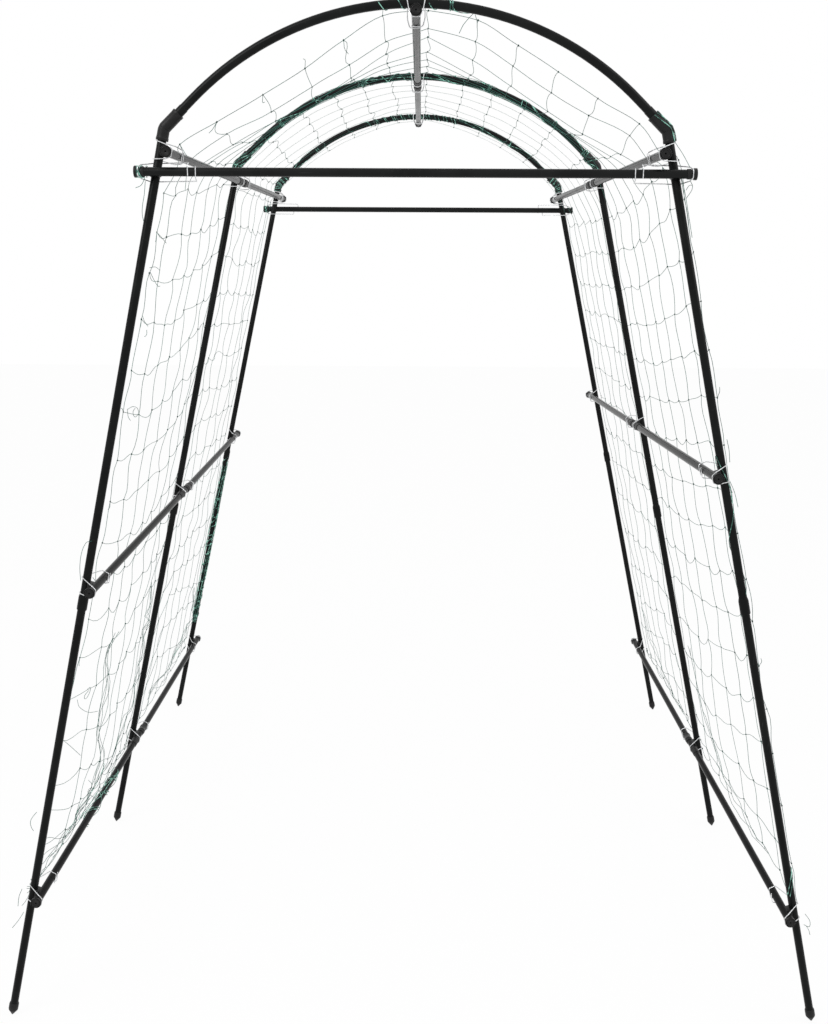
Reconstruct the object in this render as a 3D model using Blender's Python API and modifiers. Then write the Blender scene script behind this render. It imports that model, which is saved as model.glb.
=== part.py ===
# Walk-through garden arch of coated steel tube, standing on spiked feet.
# Three equal frames carry seven lengthwise rails and two crossbars. Sprung wire clips
# hold each rail to each frame, and a knotted net hangs over the roof and both sides.
# Metres, +Z up, +Y towards the rear. The origin lies on the ground under the middle frame.

import math

import bmesh
import bpy
from mathutils import Matrix, Vector

# Frames
FRAME_SPACING = 0.870
FOOT_HALF_WIDTH = 0.840
ELBOW_HALF_WIDTH = 0.449
ELBOW_HEIGHT = 1.785
SLEEVE_HEIGHT = 0.905
ARCH_END_ANGLE = math.radians(44.0)
ARCH_BEND_RADIUS = 0.570
ARCH_BENDS = 8

# Tube and its fittings
TUBE_RADIUS = 0.008
TUBE_WALL = 0.0010
FITTING_RADIUS = 0.011
FIT = 0.0003
SIDES = 12
SLEEVE_LENGTH = 0.032
SLEEVE_RADIUS = 0.0098
ELBOW_LEG_ARM = 0.021
ELBOW_ARCH_ARM = 0.038
ELBOW_BEND_RADIUS = 0.024
ELBOW_BEND_SPANS = 2
TUBE_END_SETBACK = 0.008

# Spiked foot
SPIKE_RADIUS = 0.0098
SPIKE_COLLAR = 0.017
SPIKE_CONE = 0.013
SPIKE_BELOW_GROUND = 0.004
SPIKE_PLUG = 0.012

# Rails and crossbars, with their end caps, couplings and saddles
END_OVERHANG = 0.042
CROSSBAR_OVERHANG = 0.036
CAP_RADIUS = 0.0105
CAP_FLANGE = 0.006
CAP_GROOVE = 0.0045
CAP_SKIRT_RADIUS = 0.0092
CAP_LENGTH = 0.018
CAP_VENT_RADIUS = 0.0015
COUPLING_RADIUS = 0.010
COUPLING_LENGTH = 0.032
COUPLING_SETBACK = 0.024
SADDLE_WEB = 0.002
SADDLE_LENGTH = 0.020
SADDLE_TUBE_WIDTH = 0.018
SADDLE_RAIL_WIDTH = 0.014
SADDLE_DEPTH = 0.0135
SADDLE_BITE = 0.0005
LOWER_LEFT_HEIGHTS = (0.285, 0.245)
LOWER_RIGHT_HEIGHTS = (0.255, 0.245)
LEFT_RAIL_RISE = 0.036
RIGHT_RAIL_FRONT_HEIGHT = 1.165
RIGHT_RAIL_RISE = -0.050
CROSSBAR_HOLD_GAP = 0.004

# Sprung wire clips
WIRE_RADIUS = 0.001
CLIP_HALF_SPAN = 0.016
CLIP_FAR_REACH = 0.068
CLIP_END_STAGGER = 0.007
CLIP_CLEARANCE = 0.0006
CLIP_ARM_DEPTH = 0.005
CLIP_CORNER = 0.012
CLIP_KNEE_SETBACK = 0.004
CLIP_BEND = 0.007
CLIP_TAIL = 0.009
CLIP_STACK_GAP = 0.001

# Net
NET_STRAND = 0.002
NET_CLEARANCE = 0.0006
NET_PANEL_GAP = 0.0004
NET_CLIP_MARGIN = 0.010
NET_BAY_CELLS = 4
NET_SIDE_CELLS = 8
NET_ROOF_CELLS = 4
NET_RIDGE_REACH = 0.0113
NET_SEAM_REACH = 0.0102
NET_SEAM_ANGLE = math.radians(38.0)
NET_TOP_DROP = 0.072
NET_BOTTOM_HEIGHT = 0.235
NET_ROOF_LIE = (
    (-0.785, 0.30),
    (-0.660, 0.00),
    (-0.450, 0.10),
    (0.000, 1.00),
    (0.435, 0.60),
    (0.870, 1.00),
)

FRAMES = {"front": -1, "middle": 0, "rear": 1}
SIDES_OF_ARCH = {"left": -1, "right": 1}
UP = Vector((0.0, 0.0, 1.0))
REARWARD = Vector((0.0, 1.0, 0.0))

# Derived places. The leg line runs from the foot on the ground to the elbow's corner.
SPLAY = math.atan2(FOOT_HALF_WIDTH - ELBOW_HALF_WIDTH, ELBOW_HEIGHT)
LEG_LENGTH = ELBOW_HEIGHT / math.cos(SPLAY)
SLEEVE_ALONG = SLEEVE_HEIGHT / math.cos(SPLAY)
BORE_RADIUS = TUBE_RADIUS - TUBE_WALL
SOCKET_RADIUS = (TUBE_RADIUS + FIT) / math.cos(math.pi / SIDES)
RAIL_OFFSET = 2.0 * TUBE_RADIUS + SADDLE_WEB
ARCH_BEND_HALF_WIDTH = ARCH_BEND_RADIUS * math.sin(ARCH_END_ANGLE)
ARCH_STRAIGHT_RISE = (ELBOW_HALF_WIDTH - ARCH_BEND_HALF_WIDTH) * math.tan(ARCH_END_ANGLE)
ARCH_BEND_RISE = ARCH_BEND_RADIUS * (1.0 - math.cos(ARCH_END_ANGLE))
APEX_HEIGHT = ELBOW_HEIGHT + ARCH_STRAIGHT_RISE + ARCH_BEND_RISE
CLIP_HALF_HEIGHT = CLIP_HALF_SPAN + WIRE_RADIUS
GROOVE_SETBACK = CAP_FLANGE + CAP_GROOVE / 2.0
SHOULDER_ALONG = LEG_LENGTH - ELBOW_LEG_ARM - CLIP_HALF_HEIGHT - CLIP_STACK_GAP
CROSSBAR_ALONG = SHOULDER_ALONG - 2.0 * CLIP_HALF_HEIGHT - CROSSBAR_HOLD_GAP
LEFT_FRONT_ALONG = SLEEVE_ALONG + SLEEVE_LENGTH / 2.0 + CLIP_HALF_HEIGHT + CLIP_STACK_GAP
LEFT_REAR_ALONG = LEFT_FRONT_ALONG + LEFT_RAIL_RISE / math.cos(SPLAY)
RIGHT_FRONT_ALONG = RIGHT_RAIL_FRONT_HEIGHT / math.cos(SPLAY)
RIGHT_REAR_ALONG = RIGHT_FRONT_ALONG + RIGHT_RAIL_RISE / math.cos(SPLAY)


def clear_scene():
    for item in list(bpy.data.objects):
        bpy.data.objects.remove(item, do_unlink=True)


def make_collection(name):
    found = bpy.data.collections.new(name)
    bpy.context.scene.collection.children.link(found)
    return found


def make_material(name, colour, roughness, metallic):
    found = bpy.data.materials.new(name)
    found.use_nodes = True
    shader = found.node_tree.nodes["Principled BSDF"]
    shader.inputs["Base Color"].default_value = (*colour, 1.0)
    shader.inputs["Roughness"].default_value = roughness
    shader.inputs["Metallic"].default_value = metallic
    found.diffuse_color = (*colour, 1.0)
    return found


def add_part(name, data, finish, matrix=None):
    """Puts one named piece in the arch's collection, with a finish of its own."""
    part = bpy.data.objects.new(name, data)
    data.materials.append(make_material(name, *finish))
    if matrix is not None:
        part.matrix_world = matrix
    arch_parts.objects.link(part)
    return part


def add_cutter(name, data, matrix=None):
    cutter = bpy.data.objects.new(name, data)
    if matrix is not None:
        cutter.matrix_world = matrix
    cutter.hide_render = True
    cutter.display_type = "WIRE"
    cutters.objects.link(cutter)
    return cutter


def boolean(target, tool, operation):
    cut = target.modifiers.new(tool.name, "BOOLEAN")
    cut.operation = operation
    cut.solver = "EXACT"
    cut.object = tool


def profile_mesh(name, profile, closed):
    """Edges along a profile of (radius, height) pairs, outer side first, from the top down."""
    mesh = bpy.data.meshes.new(name)
    shape = bmesh.new()
    points = [shape.verts.new((radius, 0.0, height)) for radius, height in profile]
    for start, end in zip(points, points[1:]):
        shape.edges.new((start, end))
    if closed:
        shape.edges.new((points[-1], points[0]))
    shape.to_mesh(mesh)
    shape.free()
    return mesh


def spin(part):
    turn = part.modifiers.new("Turn", "SCREW")
    turn.steps = SIDES
    turn.render_steps = SIDES
    turn.use_merge_vertices = True
    turn.merge_threshold = 0.00001
    turn.use_smooth_shade = False


def turned_part(name, profile, finish, matrix, closed=True):
    part = add_part(name, profile_mesh(name, profile, closed), finish, matrix)
    spin(part)
    return part


def path_curve(name, points, radius, resolution, filled):
    data = bpy.data.curves.new(name, "CURVE")
    data.dimensions = "3D"
    data.bevel_depth = radius
    data.bevel_resolution = resolution
    data.use_fill_caps = filled
    data.twist_mode = "MINIMUM"
    line = data.splines.new("POLY")
    line.points.add(len(points) - 1)
    for point, place in zip(line.points, points):
        point.co = (*place, 1.0)
    return data


def tube_part(name, points, outer_radius, wall, finish):
    """A hollow tube along a bent path, open at both ends."""
    data = path_curve(name, points, outer_radius, SIDES // 2 - 2, False)
    part = add_part(name, data, finish)
    shell = part.modifiers.new("Wall", "SOLIDIFY")
    shell.thickness = wall
    shell.offset = -1.0
    shell.use_even_offset = True
    return part


def axes_matrix(origin, along_x, along_y, along_z):
    rotation = Matrix((along_x, along_y, along_z)).transposed().to_4x4()
    return Matrix.Translation(origin) @ rotation


def leg_direction(side):
    """Unit vector up the leg, which leans in towards the middle."""
    return Vector((-side * math.sin(SPLAY), 0.0, math.cos(SPLAY)))


def outward(side):
    """Unit vector square to the leg, away from the walkway."""
    return Vector((side * math.cos(SPLAY), 0.0, math.sin(SPLAY)))


def leg_point(side, frame, along):
    foot = Vector((side * FOOT_HALF_WIDTH, frame * FRAME_SPACING, 0.0))
    return foot + leg_direction(side) * along


def leg_matrix(side, frame, along):
    up_leg = leg_direction(side)
    return axes_matrix(leg_point(side, frame, along), REARWARD.cross(up_leg), REARWARD, up_leg)


def arch_direction(side):
    """Unit vector from the elbow's corner up into the arch."""
    return Vector((-side * math.cos(ARCH_END_ANGLE), 0.0, math.sin(ARCH_END_ANGLE)))


def arch_height(across, drop=0.0):
    """Height of the arch's centre line, less a drop square to it, at a distance from the middle."""
    radius = ARCH_BEND_RADIUS - drop
    centre = APEX_HEIGHT - ARCH_BEND_RADIUS
    bend_end = radius * math.sin(ARCH_END_ANGLE)
    if across <= bend_end:
        return centre + math.sqrt(radius * radius - across * across)
    bend_height = centre + radius * math.cos(ARCH_END_ANGLE)
    return bend_height - (across - bend_end) * math.tan(ARCH_END_ANGLE)


def lower_leg(label, side, frame):
    """Lower tube with its spiked foot, open at the top where the upper tube's sleeve takes it."""
    top = SLEEVE_ALONG - FIT
    collar_top = SPIKE_CONE + SPIKE_COLLAR
    profile = [
        (0.0, collar_top + SPIKE_PLUG),
        (BORE_RADIUS, collar_top + SPIKE_PLUG),
        (BORE_RADIUS, top),
        (TUBE_RADIUS, top),
        (TUBE_RADIUS, collar_top),
        (SPIKE_RADIUS, collar_top),
        (SPIKE_RADIUS, SPIKE_CONE),
        (0.0, -SPIKE_BELOW_GROUND),
    ]
    matrix = leg_matrix(side, frame, 0.0)
    part = turned_part(f"leg_lower_{label}", profile, BLACK_COAT, matrix, closed=False)
    boolean(part, ground_cutter, "DIFFERENCE")


def upper_leg(label, side, frame):
    """Upper tube with the coupling sleeve that takes the lower tube's end."""
    half_sleeve = SLEEVE_LENGTH / 2.0
    top = LEG_LENGTH - TUBE_END_SETBACK - SLEEVE_ALONG
    profile = [
        (TUBE_RADIUS, top),
        (TUBE_RADIUS, half_sleeve),
        (SLEEVE_RADIUS, half_sleeve),
        (SLEEVE_RADIUS, -half_sleeve),
        (SOCKET_RADIUS, -half_sleeve),
        (SOCKET_RADIUS, 0.0),
        (BORE_RADIUS, 0.0),
        (BORE_RADIUS, top),
    ]
    turned_part(f"leg_upper_{label}", profile, BLACK_COAT, leg_matrix(side, frame, SLEEVE_ALONG))


def elbow(label, side, frame):
    """Plastic shoulder fitting, bent from the leg's line to the arch's end."""
    corner = leg_point(side, frame, LEG_LENGTH)
    down = -leg_direction(side)
    up = arch_direction(side)
    bend = math.pi - down.angle(up)
    tangent = ELBOW_BEND_RADIUS * math.tan(bend / 2.0)
    towards = (down + up).normalized()
    centre = corner + towards * (ELBOW_BEND_RADIUS / math.cos(bend / 2.0))
    first = corner + down * tangent - centre
    turn_axis = first.cross(corner + up * tangent - centre).normalized()
    points = [corner + down * ELBOW_LEG_ARM]
    for step in range(ELBOW_BEND_SPANS + 1):
        turn = Matrix.Rotation(bend * step / ELBOW_BEND_SPANS, 3, turn_axis)
        points.append(centre + turn @ first)
    points.append(corner + up * ELBOW_ARCH_ARM)
    tube_part(f"elbow_{label}", points, FITTING_RADIUS, FITTING_RADIUS - SOCKET_RADIUS, BLACK_PLASTIC)


def arch_tube(label, frame):
    """Bent roof tube, with a straight end in each elbow."""
    place = frame * FRAME_SPACING
    right_corner = Vector((ELBOW_HALF_WIDTH, place, ELBOW_HEIGHT))
    right_end = right_corner + arch_direction(1) * TUBE_END_SETBACK
    centre = Vector((0.0, place, APEX_HEIGHT - ARCH_BEND_RADIUS))
    reach = ARCH_BEND_RADIUS / math.cos(ARCH_END_ANGLE / ARCH_BENDS)
    points = [right_end]
    for step in range(ARCH_BENDS):
        turn = ARCH_END_ANGLE * (1.0 - (2.0 * step + 1.0) / ARCH_BENDS)
        points.append(centre + reach * Vector((math.sin(turn), 0.0, math.cos(turn))))
    points.append(Vector((-right_end.x, place, right_end.z)))
    tube_part(f"arch_tube_{label}", points, TUBE_RADIUS, TUBE_WALL, BLACK_COAT)


def rail_profile(length, coupled):
    """Half section of a hollow rail with a flanged and grooved cap on each end."""
    end = length / 2.0
    wall = CAP_FLANGE
    outer = [
        (CAP_VENT_RADIUS, end),
        (CAP_RADIUS, end),
        (CAP_RADIUS, end - CAP_FLANGE),
        (TUBE_RADIUS, end - CAP_FLANGE),
        (TUBE_RADIUS, end - CAP_FLANGE - CAP_GROOVE),
        (CAP_SKIRT_RADIUS, end - CAP_FLANGE - CAP_GROOVE),
        (CAP_SKIRT_RADIUS, end - CAP_LENGTH),
        (TUBE_RADIUS, end - CAP_LENGTH),
    ]
    middle = []
    if coupled:
        middle = [
            (TUBE_RADIUS, COUPLING_SETBACK + COUPLING_LENGTH),
            (COUPLING_RADIUS, COUPLING_SETBACK + COUPLING_LENGTH),
            (COUPLING_RADIUS, COUPLING_SETBACK),
            (TUBE_RADIUS, COUPLING_SETBACK),
        ]
    lower = [(radius, -height) for radius, height in reversed(outer)]
    inner = [
        (CAP_VENT_RADIUS, wall - end),
        (BORE_RADIUS, wall - end),
        (BORE_RADIUS, end - wall),
        (CAP_VENT_RADIUS, end - wall),
    ]
    return outer + middle + lower + inner


def saddle(name, crossing, carrier_cutter, rail_cutter, rail):
    """Plastic cradle between a rail and the tube behind it, joined to the rail."""
    mesh = bpy.data.meshes.new(name)
    shape = bmesh.new()
    bmesh.ops.create_cube(shape, size=1.0)
    size = Vector((SADDLE_LENGTH, SADDLE_RAIL_WIDTH, SADDLE_DEPTH))
    bmesh.ops.scale(shape, vec=size, verts=shape.verts)
    bmesh.ops.translate(shape, vec=(0.0, 0.0, SADDLE_DEPTH / 2.0), verts=shape.verts)
    tube_side = [corner for corner in shape.verts if corner.co.z > 0.0]
    flare = Vector((1.0, SADDLE_TUBE_WIDTH / SADDLE_RAIL_WIDTH, 1.0))
    bmesh.ops.scale(shape, vec=flare, verts=tube_side)
    shape.to_mesh(mesh)
    shape.free()
    block = add_cutter(name, mesh, crossing)
    boolean(block, carrier_cutter, "DIFFERENCE")
    boolean(block, rail_cutter, "DIFFERENCE")
    boolean(rail, block, "UNION")


def rod_cutter(name, radius, length, matrix):
    mesh = bpy.data.meshes.new(name)
    shape = bmesh.new()
    bmesh.ops.create_cone(
        shape,
        cap_ends=True,
        segments=SIDES,
        radius1=radius,
        radius2=radius,
        depth=length,
    )
    shape.to_mesh(mesh)
    shape.free()
    return add_cutter(name, mesh, matrix)


def clip_wrap(across, centre, near, far):
    """Two points round the back of the carrying tube, between the clip's two straight arms."""
    ring = TUBE_RADIUS + CLIP_CLEARANCE + WIRE_RADIUS
    angles = []
    for end, sign in ((near, -1.0), (far, 1.0)):
        gap = end - centre
        heading = math.atan2(gap.y, abs(gap.x))
        opening = math.acos(ring / gap.length)
        angles.append(math.pi / 2.0 - sign * (math.pi / 2.0 - heading - opening))
    spread = (angles[0] - angles[1]) / 4.0
    middle = (angles[0] + angles[1]) / 2.0
    reach = ring / math.cos(spread)
    points = []
    for angle in (middle - spread, middle + spread):
        place = centre + reach * Vector((math.cos(angle), math.sin(angle)))
        points.append(Vector((place.x, across, place.y)))
    return points


def clip_path(lean, overhang):
    """Points of one clip: rail along x, carrying tube along y at a height of RAIL_OFFSET.

    The wire starts in a hook over the rail and runs behind the tube. Then it slants over
    the rail in its cap's groove, and comes back behind the tube to a second hook.
    """
    over_rail = TUBE_RADIUS + CLIP_CLEARANCE + WIRE_RADIUS
    near = GROOVE_SETBACK - overhang
    knee = Vector((near + CLIP_KNEE_SETBACK, 0.0))
    halves = []
    for across, stagger in ((CLIP_HALF_SPAN, CLIP_END_STAGGER), (-CLIP_HALF_SPAN, -CLIP_END_STAGGER)):
        sign = math.copysign(1.0, across)
        far = CLIP_FAR_REACH + stagger
        centre = Vector((across * math.tan(lean), RAIL_OFFSET))
        halves.append([
            Vector((far, -sign * CLIP_TAIL, -over_rail)),
            Vector((far, sign * CLIP_CORNER, -over_rail)),
            Vector((far, across, CLIP_ARM_DEPTH)),
            *clip_wrap(across, centre, knee, Vector((far, CLIP_ARM_DEPTH))),
            Vector((knee.x, sign * CLIP_CORNER, knee.y)),
            Vector((near, sign * CLIP_BEND, -over_rail)),
        ])
    return halves[0] + list(reversed(halves[1]))


def clip(name, crossing, lean, direction, overhang):
    """One sprung wire clip; direction 1 points its long side along the rail's x axis."""
    path = clip_path(lean * direction, overhang)
    points = [crossing @ Vector((point.x * direction, point.y, point.z)) for point in path]
    add_part(name, path_curve(name, points, WIRE_RADIUS, 1, True), GALVANISED)


def carrier_lean(crossing, carrier_direction):
    """Angle in the clip's plane between the carrying tube and a line square to the rail."""
    local = crossing.to_3x3().transposed() @ carrier_direction
    return math.atan2(local.x, local.y)


def long_rail(label, starts, carriers, coupled=True):
    """A rail held to the three frames, with a saddle and a clip at each.

    starts holds the rail's centre at the front and rear frame, and carriers holds, for
    each frame, the cutter and the direction of the tube that carries the rail.
    """
    front, rear, towards_carrier = starts
    along = (rear - front).normalized()
    across = towards_carrier.cross(along)
    length = (rear - front).length + 2.0 * END_OVERHANG
    centre = (front + rear) / 2.0
    turned = axes_matrix(centre, across, towards_carrier, along)
    rail = turned_part(f"rail_{label}", rail_profile(length, coupled), RAIL_COAT, turned)
    core = rod_cutter(f"core_{label}", TUBE_RADIUS - SADDLE_BITE, length, turned)
    for frame_name, frame in FRAMES.items():
        tool, direction = carriers[frame_name]
        place = centre + along * (frame * (rear - front).length / 2.0)
        crossing = axes_matrix(place, along, across, towards_carrier)
        saddle(f"saddle_{label}_{frame_name}", crossing, tool, core, rail)
        lean = carrier_lean(crossing, direction)
        facing = -1.0 if frame_name == "rear" else 1.0
        clip(f"clip_{label}_{frame_name}", crossing, lean, facing, END_OVERHANG)


def side_rail(label, side, front_along, rear_along):
    """A rail inside one side's legs, at a distance up the front leg and up the rear one."""
    inward = -outward(side) * RAIL_OFFSET
    front = leg_point(side, -1, front_along) + inward
    rear = leg_point(side, 1, rear_along) + inward
    carriers = {
        name: (leg_cutters[(name, side)], leg_direction(side) * side)
        for name in FRAMES
    }
    long_rail(label, (front, rear, outward(side)), carriers)


def ridge_rail():
    height = APEX_HEIGHT - RAIL_OFFSET
    front = Vector((0.0, -FRAME_SPACING, height))
    rear = Vector((0.0, FRAME_SPACING, height))
    carriers = {name: (arch_cutters[name], Vector((1.0, 0.0, 0.0))) for name in FRAMES}
    long_rail("ridge", (front, rear, UP), carriers)


def crossbar(frame_name):
    """Level bar tying the two legs of an end frame, on the outer face of the frame."""
    facing = FRAMES[frame_name]
    towards_frame = Vector((0.0, -facing, 0.0))
    label = f"crossbar_{frame_name}"
    right_leg = leg_point(1, facing, CROSSBAR_ALONG)
    length = 2.0 * (right_leg.x + CROSSBAR_OVERHANG)
    along = Vector((1.0, 0.0, 0.0))
    across = towards_frame.cross(along)
    centre = Vector((0.0, right_leg.y, right_leg.z)) - towards_frame * RAIL_OFFSET
    turned = axes_matrix(centre, across, towards_frame, along)
    bar = turned_part(label, rail_profile(length, False), BLACK_COAT, turned)
    core = rod_cutter(f"core_{label}", TUBE_RADIUS - SADDLE_BITE, length, turned)
    for side_name, side in SIDES_OF_ARCH.items():
        place = centre + along * (side * right_leg.x)
        crossing = axes_matrix(place, along, across, towards_frame)
        tool = leg_cutters[(frame_name, side)]
        saddle(f"saddle_{label}_{side_name}", crossing, tool, core, bar)
        lean = carrier_lean(crossing, leg_direction(side) * across.z)
        clip(f"clip_{label}_{side_name}", crossing, lean, -side, CROSSBAR_OVERHANG)


def net_columns():
    """Places along the arch of the net's crosswise strands, clear of every clip."""
    near = END_OVERHANG - GROOVE_SETBACK + NET_CLIP_MARGIN
    far = CLIP_FAR_REACH + CLIP_END_STAGGER + NET_CLIP_MARGIN
    columns = []
    for start, end in ((far - FRAME_SPACING, -near), (far, FRAME_SPACING - far)):
        for step in range(NET_BAY_CELLS + 1):
            columns.append(start + (end - start) * step / NET_BAY_CELLS)
    rear_edge = FRAME_SPACING - FITTING_RADIUS - NET_CLIP_MARGIN
    return columns + [rear_edge]


def net_frame_cells(columns):
    """Numbers of the cells that pass the middle frame and meet the rear one."""
    return (NET_BAY_CELLS, len(columns) - 2)


def pulled_back(start, towards):
    """Place of a panel's edge strand, which stops short of the next panel's."""
    return start + (towards - start).normalized() * (NET_STRAND + NET_PANEL_GAP) / 2.0


def net_seam():
    """Where roof net and side net meet, over the outer side of the shoulder rail."""
    rail = leg_point(1, 0, SHOULDER_ALONG) - outward(1) * RAIL_OFFSET
    reach = Vector((math.cos(NET_SEAM_ANGLE), math.sin(NET_SEAM_ANGLE))) * NET_SEAM_REACH
    return Vector((rail.x, rail.z)) + reach


def net_fullness(place):
    """1 where the roof net lies along an arch, 0 where it is drawn straight over the roof."""
    for (start, first), (end, last) in zip(NET_ROOF_LIE, NET_ROOF_LIE[1:]):
        if place <= end:
            share = max(0.0, (place - start) / (end - start))
            return first + (last - first) * share
    return NET_ROOF_LIE[-1][1]


def roof_profile(place):
    """Points of one crosswise strand over the right half, from the ridge to the shoulder."""
    arch_drop = TUBE_RADIUS + NET_CLEARANCE + NET_STRAND / 2.0
    ridge = Vector((0.0, APEX_HEIGHT - RAIL_OFFSET + NET_RIDGE_REACH))
    seam = net_seam()
    points = [ridge]
    for row in range(1, NET_ROOF_CELLS):
        chord = ridge.lerp(seam, row / NET_ROOF_CELLS)
        below_arch = arch_height(chord.x, arch_drop)
        points.append(Vector((chord.x, chord.y + (below_arch - chord.y) * net_fullness(place))))
    points.append(seam)
    points[0] = pulled_back(points[0], points[1])
    points[-1] = pulled_back(points[-1], points[-2])
    return points


def side_profile(_place):
    """Points of one upright strand, from over the shoulder rail down outside the leg."""
    plane = FITTING_RADIUS + NET_CLEARANCE + NET_STRAND / 2.0
    high = SHOULDER_ALONG - NET_TOP_DROP
    low = NET_BOTTOM_HEIGHT / math.cos(SPLAY)
    points = [net_seam()]
    for row in range(NET_SIDE_CELLS):
        along = high + (low - high) * row / (NET_SIDE_CELLS - 1)
        place = leg_point(1, 0, along) + outward(1) * plane
        points.append(Vector((place.x, place.z)))
    points[0] = pulled_back(points[0], points[1])
    return points


def net_panel(name, side, profile_at, clipped_rows):
    """A net of square strands on a grid, left open at the frames where rails are clipped."""
    columns = net_columns()
    cells_across = len(columns) - 1
    cells_down = len(profile_at(0.0)) - 1
    mesh = bpy.data.meshes.new(name)
    shape = bmesh.new()
    bmesh.ops.create_grid(shape, x_segments=cells_across, y_segments=cells_down, size=1.0)
    open_cells = []
    for face in shape.faces:
        middle = face.calc_center_median()
        column = int((middle.x + 1.0) / 2.0 * cells_across)
        row = int((middle.y + 1.0) / 2.0 * cells_down)
        if column in net_frame_cells(columns) and row in clipped_rows:
            open_cells.append(face)
    bmesh.ops.delete(shape, geom=open_cells, context="FACES")
    for corner in shape.verts:
        place = columns[round((corner.co.x + 1.0) / 2.0 * cells_across)]
        row = round((corner.co.y + 1.0) / 2.0 * cells_down)
        spot = profile_at(place)[row]
        corner.co = (side * spot.x, place, spot.y)
    bmesh.ops.recalc_face_normals(shape, faces=shape.faces)
    shape.to_mesh(mesh)
    shape.free()
    part = add_part(name, mesh, GREEN_TWINE)
    strands = part.modifiers.new("Strands", "WIREFRAME")
    strands.thickness = NET_STRAND
    strands.use_replace = True
    strands.use_boundary = True
    strands.use_even_offset = False
    strands.offset = 0.0


BLACK_COAT = ((0.012, 0.013, 0.013), 0.42, 0.0)
RAIL_COAT = ((0.026, 0.026, 0.027), 0.38, 0.0)
BLACK_PLASTIC = ((0.010, 0.010, 0.011), 0.50, 0.0)
GALVANISED = ((0.72, 0.73, 0.74), 0.28, 1.0)
GREEN_TWINE = ((0.012, 0.120, 0.075), 0.60, 0.0)

clear_scene()
arch_parts = make_collection("garden_arch")
cutters = make_collection("cutters")

ground = bpy.data.meshes.new("ground")
ground_shape = bmesh.new()
bmesh.ops.create_cube(ground_shape, size=1.0)
ground_size = (4.0 * FOOT_HALF_WIDTH, 4.0 * FRAME_SPACING, 0.1)
bmesh.ops.scale(ground_shape, vec=ground_size, verts=ground_shape.verts)
bmesh.ops.translate(ground_shape, vec=(0.0, 0.0, -0.05), verts=ground_shape.verts)
ground_shape.to_mesh(ground)
ground_shape.free()
ground_cutter = add_cutter("ground", ground)

leg_cutters = {}
arch_cutters = {}
for frame_name, frame in FRAMES.items():
    for side_name, side in SIDES_OF_ARCH.items():
        label = f"{frame_name}_{side_name}"
        lower_leg(label, side, frame)
        upper_leg(label, side, frame)
        elbow(label, side, frame)
        leg_cutters[(frame_name, side)] = rod_cutter(
            f"leg_line_{label}", SOCKET_RADIUS, LEG_LENGTH, leg_matrix(side, frame, LEG_LENGTH / 2.0)
        )
    arch_tube(frame_name, frame)
    apex = Vector((0.0, frame * FRAME_SPACING, APEX_HEIGHT))
    level = axes_matrix(apex, -UP, REARWARD, Vector((1.0, 0.0, 0.0)))
    arch_cutters[frame_name] = rod_cutter(
        f"apex_line_{frame_name}", SOCKET_RADIUS, 2.0 * SADDLE_LENGTH, level
    )

ridge_rail()
for side_name, side in SIDES_OF_ARCH.items():
    side_rail(f"shoulder_{side_name}", side, SHOULDER_ALONG, SHOULDER_ALONG)
side_rail("lower_left", -1, *(height / math.cos(SPLAY) for height in LOWER_LEFT_HEIGHTS))
side_rail("lower_right", 1, *(height / math.cos(SPLAY) for height in LOWER_RIGHT_HEIGHTS))
side_rail("mid_left", -1, LEFT_FRONT_ALONG, LEFT_REAR_ALONG)
side_rail("mid_right", 1, RIGHT_FRONT_ALONG, RIGHT_REAR_ALONG)
crossbar("front")
crossbar("rear")

for side_name, side in SIDES_OF_ARCH.items():
    net_panel(f"net_roof_{side_name}", side, roof_profile, (0, NET_ROOF_CELLS - 1))
    net_panel(f"net_side_{side_name}", side, side_profile, (0,))
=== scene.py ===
import math
import random

import bmesh
import bpy
from mathutils import Matrix, Vector, noise
from mathutils.geometry import interpolate_bezier


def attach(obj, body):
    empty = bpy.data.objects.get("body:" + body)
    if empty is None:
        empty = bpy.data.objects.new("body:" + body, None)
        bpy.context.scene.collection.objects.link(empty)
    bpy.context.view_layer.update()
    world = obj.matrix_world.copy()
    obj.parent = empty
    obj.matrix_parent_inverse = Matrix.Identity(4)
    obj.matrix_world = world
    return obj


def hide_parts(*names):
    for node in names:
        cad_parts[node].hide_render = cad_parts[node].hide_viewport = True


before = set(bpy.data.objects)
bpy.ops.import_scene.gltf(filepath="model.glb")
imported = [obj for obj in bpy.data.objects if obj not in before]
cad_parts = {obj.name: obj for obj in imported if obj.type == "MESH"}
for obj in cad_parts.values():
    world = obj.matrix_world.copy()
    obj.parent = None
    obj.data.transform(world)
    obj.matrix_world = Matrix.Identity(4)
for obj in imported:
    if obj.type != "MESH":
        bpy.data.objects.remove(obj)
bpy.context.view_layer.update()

# the arch's own measures, in metres and degrees
arch = {
    "spacing": 0.870,          # from one tube frame to the next
    "footOut": 0.840,          # half the width at the ground
    "elbowOut": 0.449,         # half the width at the elbow corners
    "elbowUp": 1.785,
    "endAngle": 44.0,          # slope of the roof tube where it enters the elbow
    "roofBend": 0.570,
    "tube": 0.008,             # tube radius
    "railOffset": 0.018,       # from a tube's middle to the middle of the rail across it
    "frames": {"front": -1, "middle": 0, "rear": 1},
    "sides": {"left": -1, "right": 1},
}

upright = Vector((0, 0, 1))
rearward = Vector((0, 1, 0))
splay = math.atan2(arch["footOut"] - arch["elbowOut"], arch["elbowUp"])
legLong = arch["elbowUp"] / math.cos(splay)
endAngle = math.radians(arch["endAngle"])
apexUp = (arch["elbowUp"] + arch["roofBend"] * (1 - math.cos(endAngle))
          + (arch["elbowOut"] - arch["roofBend"] * math.sin(endAngle)) * math.tan(endAngle))


def legAlong(height):
    # how far up the leg's slope a height is
    return height / math.cos(splay)


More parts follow.
